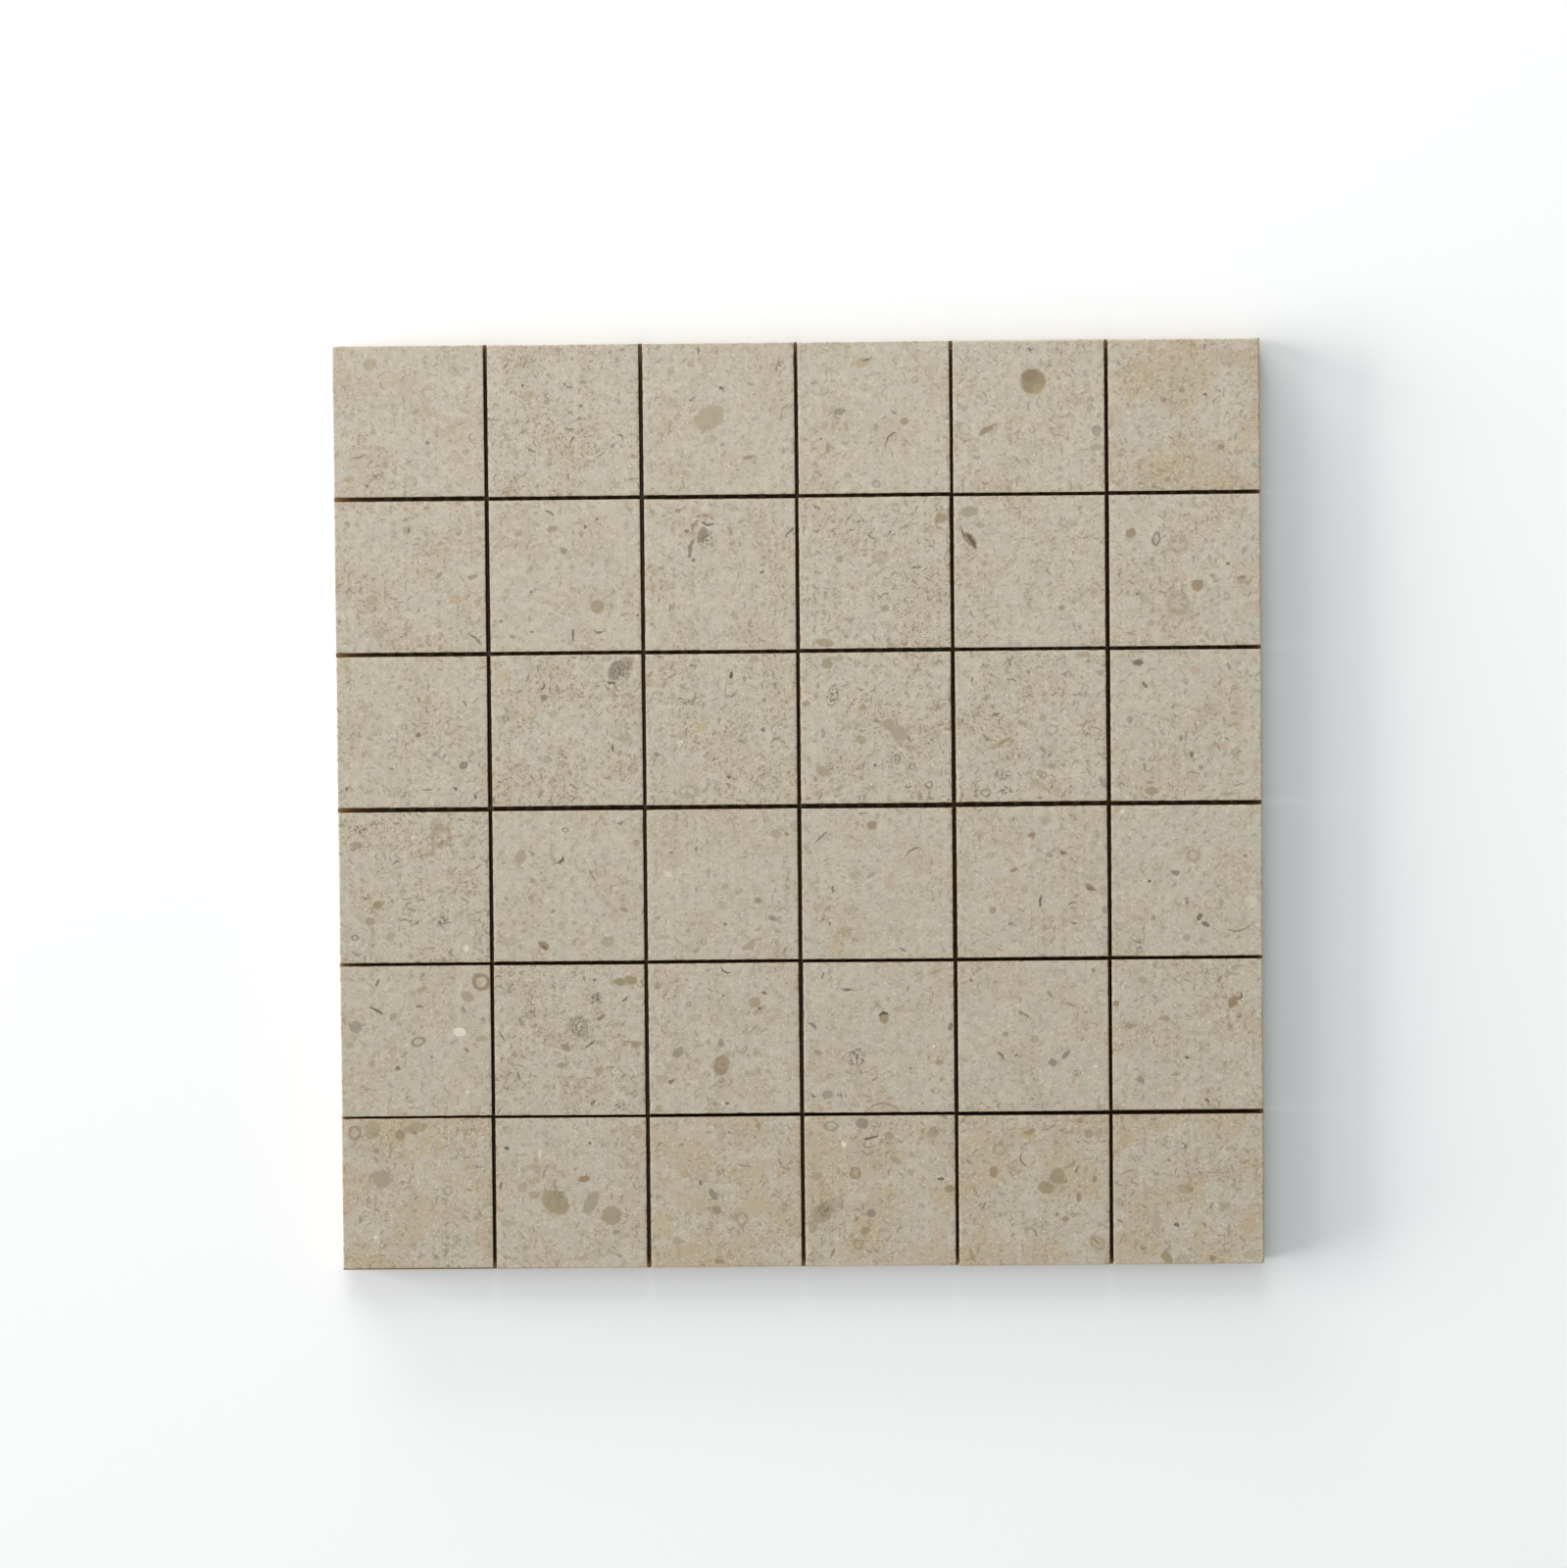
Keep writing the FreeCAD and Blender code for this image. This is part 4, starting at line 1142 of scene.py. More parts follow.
        Mark(S, 1153, 1047, 3.6, 1.5, 5, BROWN, 0.6), Mark(S, 1164, 1102, 2.9, 2.2, -40, GREY, 0.75),
        Mark(S, 1200, 1096, 3.2, 1.0, 15, OLIVE, 0.75), Mark(S, 1166, 1000, 2.9, 2.4, 0, GREY_TAN, 0.75),
        Mark(S, 1188, 1039, 3.8, 1.9, 0, OLIVE, 0.6), Mark(S, 1262, 986, 3.8, 1.6, 15, OLIVE, 0.5),
        Mark(S, 1274, 989, 2.6, 2.4, 0, YELLOW, 0.45), Mark(R, 1203, 999, 2.4, 2.8, 0, GREY, 0.4),
        Mark(S, 1196, 1117, 4.6, 1.7, 35, PINK), Mark(S, 1232, 1123, 2.2, 1.3, -20, DARK),
        Mark(R, 1257, 1087, 3.4, 3.6, 0, TAN, 0.45), Mark(L, 1251, 1086, 3.4, 0.5, 85, BROWN, 0.6, 0.7),
        Mark(S, 1273, 1042, 4.4, 3.8, 0, PINK, 0.4), Mark(L, 1265, 1037, 2.0, 0.8, 30, DARK, 0.6),
        Mark(S, 1211, 1079, 1.2, 0.9, 0, DARK), Mark(S, 1156, 990, 3.8, 2.4, 0, PINK, 0.4),
        Mark(S, 1273, 1096, 2.2, 2.0, 0, GREY_TAN, 0.55),
    )),
    "r6c1": ChipLook(Stone.WARM, (
        Mark(S, 380, 1153, 5.6, 6.2, 0, OLIVE, 0.5), Mark(R, 362, 1156, 4.0, 4.6, 0, BROWN),
        Mark(S, 408, 1158, 3.8, 3.2, 0, BROWN), Mark(S, 424, 1151, 8.4, 3.6, 12, OLIVE, 0.55),
        Mark(S, 423, 1156, 1.8, 1.4, 0, BROWN, 0.8), Mark(P, 482, 1154, 6.4, 3.6, 0, BROWN, 1.0),
        Mark(P, 485, 1168, 3.8, 2.0, 15, BROWN, 1.0), Mark(S, 472, 1173, 1.9, 2.2, 0, GREY_TAN),
        Mark(R, 440, 1171, 7.4, 4.2, 10, ORANGE, 0.6), Mark(S, 384, 1174, 1.9, 2.2, 0, GREY, 0.65),
        Mark(S, 390, 1203, 6.0, 6.0, 0, GREY_TAN, 0.95), Mark(P, 487, 1191, 3.0, 1.8, 0, DARK, 0.9),
        Mark(S, 376, 1225, 1.8, 3.4, 0, OLIVE, 0.55), Mark(S, 368, 1244, 1.6, 2.6, 0, BROWN, 0.55),
        Mark(R, 362, 1263, 2.6, 3.6, 0, PINK, 0.45), Mark(R, 457, 1215, 3.2, 3.0, 0, GREY, 0.4),
        Mark(L, 480, 1214, 2.4, 0.7, 0, BROWN, 0.65), Mark(S, 419, 1212, 2.3, 1.5, -10, TAN, 0.6),
        Mark(S, 465, 1264, 2.4, 2.2, 0, GREY_TAN, 0.6), Mark(S, 490, 1239, 1.6, 1.4, 0, OLIVE, 0.75),
        Mark(S, 445, 1283, 1.7, 1.4, 0, GREY, 0.75), Mark(S, 383, 1263, 1.6, 1.2, 0, PALE, 0.8),
    )),
    "r6c2": ChipLook(Stone.PLAIN, (
        Mark(S, 567, 1227, 10.0, 7.2, -34, OLIVE, 0.72), Mark(P, 571, 1217, 6.4, 5.2, -30, DARK, 0.5),
        Mark(L, 561, 1225, 5.0, 0.5, 86, BROWN, 0.5), Mark(L, 570, 1228, 6.4, 0.5, 80, BROWN, 0.6),
        Mark(L, 577, 1231, 5.0, 0.5, 74, BROWN, 0.5), Mark(S, 545, 1219, 4.0, 2.5, 0, TAN),
        Mark(S, 603, 1227, 8.4, 4.4, 62, GREY_TAN, 0.9), Mark(S, 624, 1240, 6.8, 6.4, 0, OLIVE, 0.68),
        Mark(S, 596, 1203, 3.8, 2.0, 8, BROWN, 0.9), Mark(S, 545, 1191, 3.6, 2.2, 0, TAN, 0.45),
        Mark(S, 545, 1205, 3.8, 2.2, 0, TAN, 0.55), Mark(S, 533, 1212, 3.2, 3.0, 0, TAN, 0.6),
        Mark(S, 534, 1195, 2.0, 1.7, 0, GREY_TAN, 0.6), Mark(S, 518, 1153, 3.4, 3.2, 0, OLIVE, 0.35),
        Mark(S, 517, 1172, 1.2, 1.1, 0, DARK, 0.8), Mark(S, 602, 1167, 1.1, 1.2, 0, DARK),
        Mark(S, 551, 1177, 1.4, 2.8, 0, PALE, 0.6), Mark(S, 651, 1155, 3.2, 4.4, 0, TAN, 0.5),
        Mark(P, 595, 1181, 7.0, 9.0, 0, YELLOW, 0.5), Mark(L, 511, 1210, 2.6, 1.0, 80, DARK, 0.6),
        Mark(S, 629, 1257, 1.9, 1.7, 0, GREY, 0.65), Mark(S, 521, 1248, 3.8, 2.4, 0, TAN, 0.5),
        Mark(S, 632, 1281, 2.6, 1.2, -30, BROWN, 0.6), Mark(S, 538, 1273, 2.4, 2.2, 0, TAN, 0.5),
        Mark(S, 592, 1284, 5.0, 1.6, 0, TAN, 0.5),
    )),
    "r6c3": ChipLook(Stone.WARM, (
        Mark(S, 708, 1227, 19.0, 9.0, -10, ORANGE, 0.3), Mark(S, 767, 1233, 16.0, 7.6, 10, ORANGE, 0.4),
        Mark(S, 676, 1250, 6.4, 9.6, 0, YELLOW, 0.35), Mark(S, 703, 1275, 11.4, 4.4, 5, ORANGE, 0.35),
        Mark(S, 728, 1219, 4.6, 2.2, -60, GREY, 0.8), Mark(S, 732, 1235, 2.9, 2.6, 0, BROWN, 0.75),
        Mark(S, 715, 1207, 1.0, 2.0, 0, DARK), Mark(S, 734, 1287, 3.4, 1.6, 0, BROWN, 0.8),
        Mark(S, 735, 1160, 2.9, 2.8, 0, GREY_TAN, 0.5), Mark(S, 774, 1149, 1.3, 2.3, 0, BROWN),
        Mark(S, 699, 1198, 2.9, 2.6, 0, TAN, 0.5), Mark(L, 758, 1189, 4.6, 0.7, -18, BROWN, 0.65),
        Mark(S, 696, 1168, 1.2, 1.2, 0, BROWN, 0.65), Mark(L, 802, 1192, 3.8, 0.8, -5, GREY, 0.6),
        Mark(S, 691, 1266, 3.2, 2.8, 0, OLIVE, 0.5), Mark(R, 757, 1244, 3.8, 4.4, 0, OLIVE, 0.6),
        Mark(P, 779, 1204, 3.4, 4.0, 0, BROWN, 0.9), Mark(P, 792, 1218, 3.6, 3.2, 0, BROWN, 0.9),
        Mark(P, 802, 1231, 4.4, 3.6, 0, BROWN, 1.0), Mark(L, 673, 1168, 2.6, 0.5, 40, DARK, 0.5, 0.5),
    )),
    "r6c4": ChipLook(Stone.WARM, (
        Mark(S, 880, 1146, 4.8, 3.6, 0, GREY, 0.75), Mark(R, 848, 1149, 4.6, 3.2, 0, OLIVE),
        Mark(L, 889, 1161, 5.2, 0.9, 14, DARK, 0.8), Mark(L, 886, 1169, 5.0, 0.7, -5, BROWN, 0.85, -1.0),
        Mark(L, 885, 1176, 4.6, 0.6, -10, BROWN, 0.75, -1.0), Mark(S, 907, 1159, 3.2, 2.8, 0, OLIVE, 0.6),
        Mark(S, 861, 1168, 1.6, 2.0, 0, PALE, 0.95), Mark(S, 873, 1197, 3.4, 4.0, 0, TAN, 0.6),
        Mark(R, 873, 1197, 3.4, 4.0, 0, BROWN, 0.6), Mark(S, 833, 1200, 3.8, 3.0, 0, GREY_TAN, 0.8),
        Mark(S, 914, 1184, 4.6, 1.8, -30, OLIVE, 0.6), Mark(S, 840, 1237, 8.2, 5.8, 50, OLIVE, 0.65),
        Mark(P, 842, 1234, 6.0, 5.0, 40, DARK, 0.9), Mark(S, 830, 1252, 3.2, 4.0, 0, OLIVE, 0.5),
        Mark(S, 853, 1227, 5.2, 3.8, 0, GREY_TAN, 0.5), Mark(S, 889, 1238, 3.3, 2.5, 0, GREY, 0.8),
        Mark(S, 883, 1256, 3.3, 2.2, 20, BROWN), Mark(L, 874, 1244, 2.4, 0.9, 42, BROWN, 0.8),
        Mark(S, 902, 1255, 3.2, 1.8, 0, GREY_TAN, 0.6), Mark(L, 850, 1278, 3.2, 0.9, 60, BROWN, 0.8),
        Mark(L, 960, 1203, 2.4, 0.8, 5, DARK, 0.8), Mark(S, 969, 1213, 3.6, 2.5, 0, BROWN),
        Mark(S, 952, 1156, 3.8, 3.2, 0, OLIVE, 0.6), Mark(R, 876, 1270, 3.0, 3.4, 0, BROWN, 0.65),
        Mark(P, 924, 1281, 9.4, 4.6, 0, PINK, 1.0), Mark(S, 956, 1252, 7.6, 6.4, 0, PINK, 0.3),
    )),
    "r6c5": ChipLook(Stone.WARM, (
        Mark(S, 1048, 1157, 5.2, 2.7, 14, ORANGE, 0.85), Mark(S, 1050, 1155, 4.0, 1.6, 14, BROWN, 0.6),
        Mark(S, 1079, 1200, 5.2, 5.2, 0, OLIVE, 0.75), Mark(S, 1067, 1212, 5.6, 4.0, -20, OLIVE, 0.75),
        Mark(P, 1073, 1206, 6.5, 5.0, 40, BROWN, 0.8), Mark(S, 1014, 1196, 3.8, 2.7, 80, BROWN, 0.75),
        Mark(S, 1049, 1186, 4.4, 5.6, 0, YELLOW, 0.3), Mark(L, 1044, 1183, 5.2, 0.6, -75, DARK, 0.6, -1.4),
        Mark(L, 1054, 1186, 2.4, 0.7, 40, OLIVE, 0.6), Mark(S, 1101, 1222, 1.6, 3.4, 0, BROWN, 0.8),
        Mark(S, 1111, 1157, 2.9, 2.9, 0, OLIVE), Mark(S, 1121, 1158, 2.9, 3.2, 0, TAN, 0.55),
        Mark(S, 1102, 1143, 2.4, 2.0, 0, BROWN, 0.6), Mark(L, 1094, 1188, 3.8, 1.0, 35, OLIVE, 0.65),
        Mark(L, 1098, 1194, 2.0, 0.7, 80, DARK, 0.75), Mark(S, 1117, 1203, 1.6, 2.2, 0, BROWN, 0.75),
        Mark(S, 1088, 1244, 2.2, 2.4, 0, BROWN), Mark(P, 1003, 1230, 2.4, 3.0, 0, DARK, 0.9),
        Mark(R, 1120, 1268, 5.6, 4.0, -45, OLIVE, 0.6), Mark(L, 1119, 1267, 3.4, 0.9, -42, BROWN, 0.85),
        Mark(S, 992, 1281, 4.4, 1.6, -65, OLIVE), Mark(R, 1020, 1173, 4.4, 3.6, 0, GREY, 0.35),
        Mark(S, 1050, 1253, 3.2, 1.6, 0, GREY_TAN, 0.65), Mark(S, 1069, 1249, 1.9, 1.7, 0, GREY_TAN, 0.65),
        Mark(P, 1109, 1212, 4.4, 3.2, 0, ORANGE, 0.9),
    )),
    "r6c6": ChipLook(Stone.WARM, (
        Mark(S, 1210, 1213, 5.6, 3.4, 0, OLIVE, 0.5), Mark(S, 1215, 1214, 1.9, 1.3, 0, BROWN),
        Mark(S, 1191, 1283, 4.8, 3.0, -55, OLIVE, 0.85), Mark(S, 1237, 1284, 1.8, 2.2, 0, BROWN, 0.9),
        Mark(S, 1201, 1250, 1.9, 1.6, 0, DARK, 0.75), Mark(P, 1207, 1169, 3.2, 2.4, 0, DARK, 0.95),
        Mark(S, 1193, 1184, 1.4, 1.3, 0, BROWN, 0.75), Mark(L, 1271, 1185, 3.2, 0.7, 30, BROWN, 0.6),
        Mark(S, 1169, 1214, 2.0, 3.8, 0, TAN, 0.4), Mark(S, 1180, 1246, 3.8, 4.4, 0, TAN, 0.5),
        Mark(S, 1251, 1230, 2.9, 3.2, 0, TAN, 0.55), Mark(L, 1236, 1230, 2.8, 0.9, 60, GREY),
        Mark(L, 1229, 1250, 2.6, 0.9, -50, GREY, 0.7, 0.4), Mark(L, 1254, 1254, 4.4, 0.5, 88, BROWN, 0.5),
        Mark(S, 1143, 1246, 2.0, 1.0, -15, BROWN, 0.8), Mark(S, 1149, 1162, 4.4, 3.8, 0, ORANGE, 0.5),
        Mark(P, 1166, 1273, 2.6, 2.0, 0, DARK, 0.9), Mark(R, 1282, 1155, 2.2, 2.6, 0, OLIVE, 0.5),
        Mark(P, 1223, 1159, 9.0, 4.4, 0, ORANGE, 1.0), Mark(S, 1275, 1244, 5.0, 12.6, 0, ORANGE, 0.4),
        Mark(S, 1276, 1280, 5.0, 3.2, 0, TAN, 0.5), Mark(L, 1178, 1196, 2.4, 0.9, -60, OLIVE, 0.6),
    )),
}


# An edge of a chip's solid runs across the sheet if it rises less than LEVEL, in metres, and is at least
# STRAIGHTNESS times as long across the sheet as up it
LEVEL = 0.01 * MM
STRAIGHTNESS = 10


def build_object(name: str, points: list[Vector], faces: Faces,
                 sharp_angle: float) -> bpy.types.Object:
    """Make a smoothly shaded object and add it to the scene.

    Args:
        name: Its name.
        points: Its points in metres.
        faces: Its faces, as numbers of points.
        sharp_angle: Angle in degrees past which an edge stays sharp.

    Returns:
        The object.
    """
    mesh = bpy.data.meshes.new(name)
    mesh.from_pydata(points, [], faces)
    mesh.polygons.foreach_set("use_smooth", [True] * len(mesh.polygons))
    mesh.set_sharp_from_angle(angle=math.radians(sharp_angle))
    mesh.update()
    built = bpy.data.objects.new(name, mesh)
    bpy.context.scene.collection.objects.link(built)
    return built


@dataclass(frozen=True)
class Lay:
    """Where a chip lies, read from the frame. Its lengths are in metres.

    Attributes:
        middle: The chip's middle on the sheet.
        turn: How far it is turned anticlockwise, in radians.
        width: Its size across the sheet.
        depth: Its size up the sheet.
        bottom: Height of its back.
        top: Height of its face.
    """

    middle: Vector
    turn: float
    width: float
    depth: float
    bottom: float
    top: float

    @staticmethod
    def of(node: str) -> "Lay":
        """Read a chip's lay from its node's mesh.

        Args:
            node: The node's name.

        Returns:
            Its lay.
        """
        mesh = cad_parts[node].data
        points = [vertex.co for vertex in mesh.vertices]
        edges = [points[edge.vertices[1]] - points[edge.vertices[0]] for edge in mesh.edges]
        across = [edge for edge in edges if abs(edge.z) < LEVEL and abs(edge.x) > STRAIGHTNESS * abs(edge.y)]
        along = max(across, key=lambda edge: edge.length)
        turn = math.atan(along.y / along.x)
        back = Matrix.Rotation(-turn, 2)
        flat = [back @ point.to_2d() for point in points]
        low = Vector((min(point.x for point in flat), min(point.y for point in flat)))
        high = Vector((max(point.x for point in flat), max(point.y for point in flat)))
        size = high - low
        middle = Matrix.Rotation(turn, 2) @ ((low + high) / 2)
        heights = [point.z for point in points]
        return Lay(middle, turn, size.x, size.y, min(heights), max(heights))

    def to_sheet(self, point: Triple) -> Vector:
        """Move a point from the chip's own frame, in millimetres, into the sheet's, in metres."""
        flat = Matrix.Rotation(self.turn, 2) @ Vector(point[:2]) * MM + self.middle
        return Vector((flat.x, flat.y, point[2] * MM))


@dataclass(frozen=True)
class ChipMesh:
    """A chip's shape: rounded where it was the tile's rim, saw-cut and lightly nicked elsewhere.

    All sizes are in millimetres.

    Attributes:
        rim_radius: Radius of the rounded rim.
        corner_radius: Radius of the sheet's corners.
        step: Distance between the face's grid lines.
        cut_softening: How far the saw softens an edge.
        nick_depth: Depth of a nick.
        nick_length: Length of the nicks' noise.
        nick_start: Level of that noise at which a nick begins.
        nick_gain: How fast it deepens from there.
        chipping: Fine chips in a millimetre of the edge.
        chipping_salt: Keeps the fine chips apart from the nicks.
        chipping_share: Depth of the fine chips as a share of a nick's.
        nick_fade: Share of a nick's depth at the grid line behind the edge.
        back_chamfer: Size of the chamfer round the back.
        rim_lines: Grid lines on the rounded rim, as shares of its radius.
        corner_lines: Grid lines behind the rim, as shares of the corner's radius.
        cut_lines: Grid lines behind a sawn edge, as shares of its softening.
        side_lines: Lines round the sides, as shares of their height.
        sharp_angle: Angle in degrees past which an edge stays sharp.
    """

    rim_radius: float = 0.35
    corner_radius: float = 1.0
    step: float = 1.15
    cut_softening: float = 0.1
    nick_depth: float = 0.2
    nick_length: float = 2.2
    nick_start: float = 0.12
    nick_gain: float = 2.0
    chipping: float = 1.1
    chipping_salt: float = 9.0
    chipping_share: float = 0.35
    nick_fade: float = 0.25
    back_chamfer: float = 0.35
    rim_lines: tuple[float, ...] = (0.0, 0.06, 0.25, 0.55, 1.0)
    corner_lines: tuple[float, ...] = (0.6, 1.0)
    cut_lines: tuple[float, ...] = (0.0, 1.0, 3.5)
    side_lines: tuple[float, ...] = (0.97, 0.6, 0.25)
    sharp_angle: float = 35.0

    def stations(self, half: float, low_rim: bool, high_rim: bool) -> list[float]:
        """Place the face's grid lines along one direction.

        Args:
            half: Half the chip's size.
            low_rim: Whether the low side was the tile's rim.
            high_rim: Whether the high side was.

        Returns:
            The places in order, close together near the edges.
        """
        rim = [self.rim_radius * share for share in self.rim_lines]
        rim += [self.corner_radius * share for share in self.corner_lines]
        cut = [self.cut_softening * share for share in self.cut_lines]
        low = rim if low_rim else cut
        high = rim if high_rim else cut
        start = -half + low[-1]
        end = half - high[-1]
        count = max(2, round((end - start) / self.step))
        inner = [start + (end - start) * index / count for index in range(1, count)]
        return [-half + inset for inset in low] + inner + [half - inset for inset in reversed(high)]

    def nick(self, point: Vector, salt: float) -> float:
        """Work out how much the saw has broken out of an edge.

        Args:
            point: Place on the chip.
            salt: Tells this chip's nicks from the others'.

        Returns:
            The loss as a share of a nick's depth.
        """
        wave = noise.noise(Vector((point.x / self.nick_length, point.y / self.nick_length, salt)))
        fine_salt = salt + self.chipping_salt
        fine = noise.noise(Vector((point.x * self.chipping, point.y * self.chipping, fine_salt)))
        return max(0.0, wave - self.nick_start) * self.nick_gain + max(0.0, fine) * self.chipping_share

    def corner_point(self, x: float, y: float, half: Pair,
                     top: float) -> Triple:
        """Place one point of the face at a rounded corner of the sheet.

        Args:
            x: Across the chip.
            y: Up the chip.
            half: Half the chip's width and depth.
            top: Height of the face.

        Returns:
            The point in the chip's own frame.
        """
        u = 1.0 - (half[0] - abs(x)) / self.corner_radius
        v = 1.0 - (half[1] - abs(y)) / self.corner_radius
        round_u = u * math.sqrt(1.0 - v * v / 2)
        round_v = v * math.sqrt(1.0 - u * u / 2)
        inset = self.corner_radius * (1.0 - math.hypot(round_u, round_v))
        x = math.copysign(half[0] - self.corner_radius * (1.0 - round_u), x)
        y = math.copysign(half[1] - self.corner_radius * (1.0 - round_v), y)
        return x, y, top - self.rim_drop(inset)

    def face_point(self, x: float, y: float, half: Pair, rims: dict[str, bool],
                   top: float, salt: float) -> Triple:
        """Place one point of the face.

        Args:
            x: Across the chip.
            y: Up the chip.
            half: Half the chip's width and depth.
            rims: Which of its sides were the tile's rim.
            top: Height of the face.
            salt: Tells this chip's nicks from the others'.

        Returns:
            The point in the chip's own frame.
        """
        rim_x = rims["right" if x > 0 else "left"]
        rim_y = rims["top" if y > 0 else "bottom"]
        inset_x = half[0] - abs(x)
        inset_y = half[1] - abs(y)
        if rim_x and rim_y and max(inset_x, inset_y) < self.corner_radius:
            return self.corner_point(x, y, half, top)
        drop = 0.0
        for inset, is_rim in ((inset_x, rim_x), (inset_y, rim_y)):
            if is_rim:
                drop = max(drop, self.rim_drop(inset))
            elif inset < 2 * self.cut_softening:
                broken = self.nick(Vector((x, y)), salt) * self.nick_depth
                share = 1.0 if inset < self.cut_softening / 2 else self.nick_fade
                drop = max(drop, (self.cut_softening / 2 + broken) * share)
        return x, y, top - drop

    def rim_drop(self, inset: float) -> float:
        """Work out how far the rounded rim lies below the face.

        Args:
            inset: Distance from the rim.

        Returns:
            The drop, which is zero behind the rim's radius.
        """
        if inset >= self.rim_radius:
            return 0.0
        return self.rim_radius - math.sqrt(self.rim_radius ** 2 - (self.rim_radius - inset) ** 2)

    def add_sides(self, points: list[Triple], faces: Faces,
                  ring: list[int], half: Pair, lay: Lay) -> None:
        """Add the sides and the chamfered back under the face.

        Args:
            points: The mesh's points, which grow.
            faces: The mesh's faces, which grow.
            ring: The points round the face, in order.
            half: Half the chip's width and depth.
            lay: Where the chip lies.
        """
        bottom = lay.bottom / MM
        height = lay.top / MM - self.rim_radius - bottom
        levels = [(bottom + height * share, 0.0) for share in self.side_lines]
        levels += [(bottom + self.back_chamfer, 0.0), (bottom, self.back_chamfer)]
        upper = ring
        for level, inset in levels:
            start = len(points)
            for x, y, _ in [points[index] for index in ring]:
                points.append((x * (1.0 - inset / half[0]), y * (1.0 - inset / half[1]), level))
            lower = list(range(start, len(points)))
            for spot in range(len(ring)):
                after = (spot + 1) % len(ring)
                faces.append((upper[spot], lower[spot], lower[after], upper[after]))
            upper = lower
        faces.append(tuple(reversed(upper)))

    def build(self, name: str, lay: Lay, rims: dict[str, bool], salt: float) -> bpy.types.Object:
        """Build one chip.

        Args:
            name: Its name.
            lay: Where it lies.
            rims: Which of its sides were the tile's rim.
            salt: Tells this chip's nicks from the others'.

        Returns:
            The chip.
        """
        half = (lay.width / MM / 2, lay.depth / MM / 2)
        xs = self.stations(half[0], rims["left"], rims["right"])
        ys = self.stations(half[1], rims["bottom"], rims["top"])
        points = [self.face_point(x, y, half, rims, lay.top / MM, salt) for y in ys for x in xs]
        wide, high = len(xs), len(ys)
        firsts = [row * wide + column for row in range(high - 1) for column in range(wide - 1)]
        faces = [(first, first + 1, first + wide + 1, first + wide) for first in firsts]
        ring = (list(range(wide))
                + [row * wide + wide - 1 for row in range(1, high)]
                + [(high - 1) * wide + column for column in range(wide - 2, -1, -1)]
                + [row * wide for row in range(high - 2, 0, -1)])
        self.add_sides(points, faces, ring, half, lay)
        return build_object(name, [lay.to_sheet(point) for point in points], faces, self.sharp_angle)


@dataclass(frozen=True)
class Chips:
    """All the chips of the sheet.

    Attributes:
        shape: The shape that they share.
        row_salt: How much each row shifts the pattern of nicks.
        column_salt: How much each column shifts it.
    """

    shape: ChipMesh = ChipMesh()
    row_salt: float = 3.7
    column_salt: float = 11.3

    def build(self) -> None:
        """Build, dress and place every chip."""
        for row in range(1, ROWS + 1):
            for column in range(1, COLUMNS + 1):
                self.build_one(row, column)

    def build_one(self, row: int, column: int) -> None:
        """Build and dress one chip.

        Args:
            row: Its row, from the top.
            column: Its column, from the left.
        """
        place = "r%dc%d" % (row, column)
        lay = Lay.of("chip_" + place)
        rims = {"left": column == 1, "right": column == COLUMNS, "top": row == 1, "bottom": row == ROWS}
        salt = self.row_salt * row + self.column_salt * column
        chip = self.shape.build("stone_chip_" + place, lay, rims, salt)
        look = LOOKS[place]
        finish = Limestone(lay.top / MM).build("limestone_porcelain_" + place, look.stone, look.marks)
        chip.data.materials.append(finish)
        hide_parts("chip_" + place)
        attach(chip, "root")
        turn = math.degrees(lay.turn)
        LOG.info("chip %s: %d faces, turned %.2f degrees", place, len(chip.data.polygons), turn)


@dataclass(frozen=True)
class GlassFibre:
    """Coated glass fibre, with fine filaments along each strand; its tan tones are darker than clean fibre,
    partly the coating's own colour and partly painted shade of the deep joints.

    All sizes are in millimetres.

    Attributes:
        filament_size: Size of the filaments.
        filament_depth: Depth of the grooves between them.
        coating_size: Size of the coating's patches.
    """

    filament_size: float = 0.16
    filament_depth: float = 0.03
    coating_size: float = 3.0

    def build(self, name: str, stretch: Triple) -> bpy.types.Material:
        """Make the finish.

        Args:
            name: The material's name.
            stretch: How fine the filaments are along each axis: the smaller, the longer.

        Returns:
            The material.
        """
        shader = Shader(name)
        place = shader.sheet_place()
        filaments = shader.noise(place * stretch, self.filament_size, 2.0, flat=False)
        coating = shader.noise(place, self.coating_size, 2.0, flat=False)
        colour = shader.mix(filaments.ease(0.35, 0.65), Tone.GLASS_FIBRE_DARK_AND_SHADE, Tone.GLASS_FIBRE_AND_SHADE)
        colour = shader.mix(coating.ease(0.5, 0.7, 0.0, 0.3), colour, Tone.GLASS_FIBRE_DARK_AND_SHADE)
        return shader.surface({
            "Base Color": colour,
            "Roughness": coating.ease(0.3, 0.7, 0.4, 0.6),
            "Normal": shader.bump(filaments, self.filament_depth),
        })


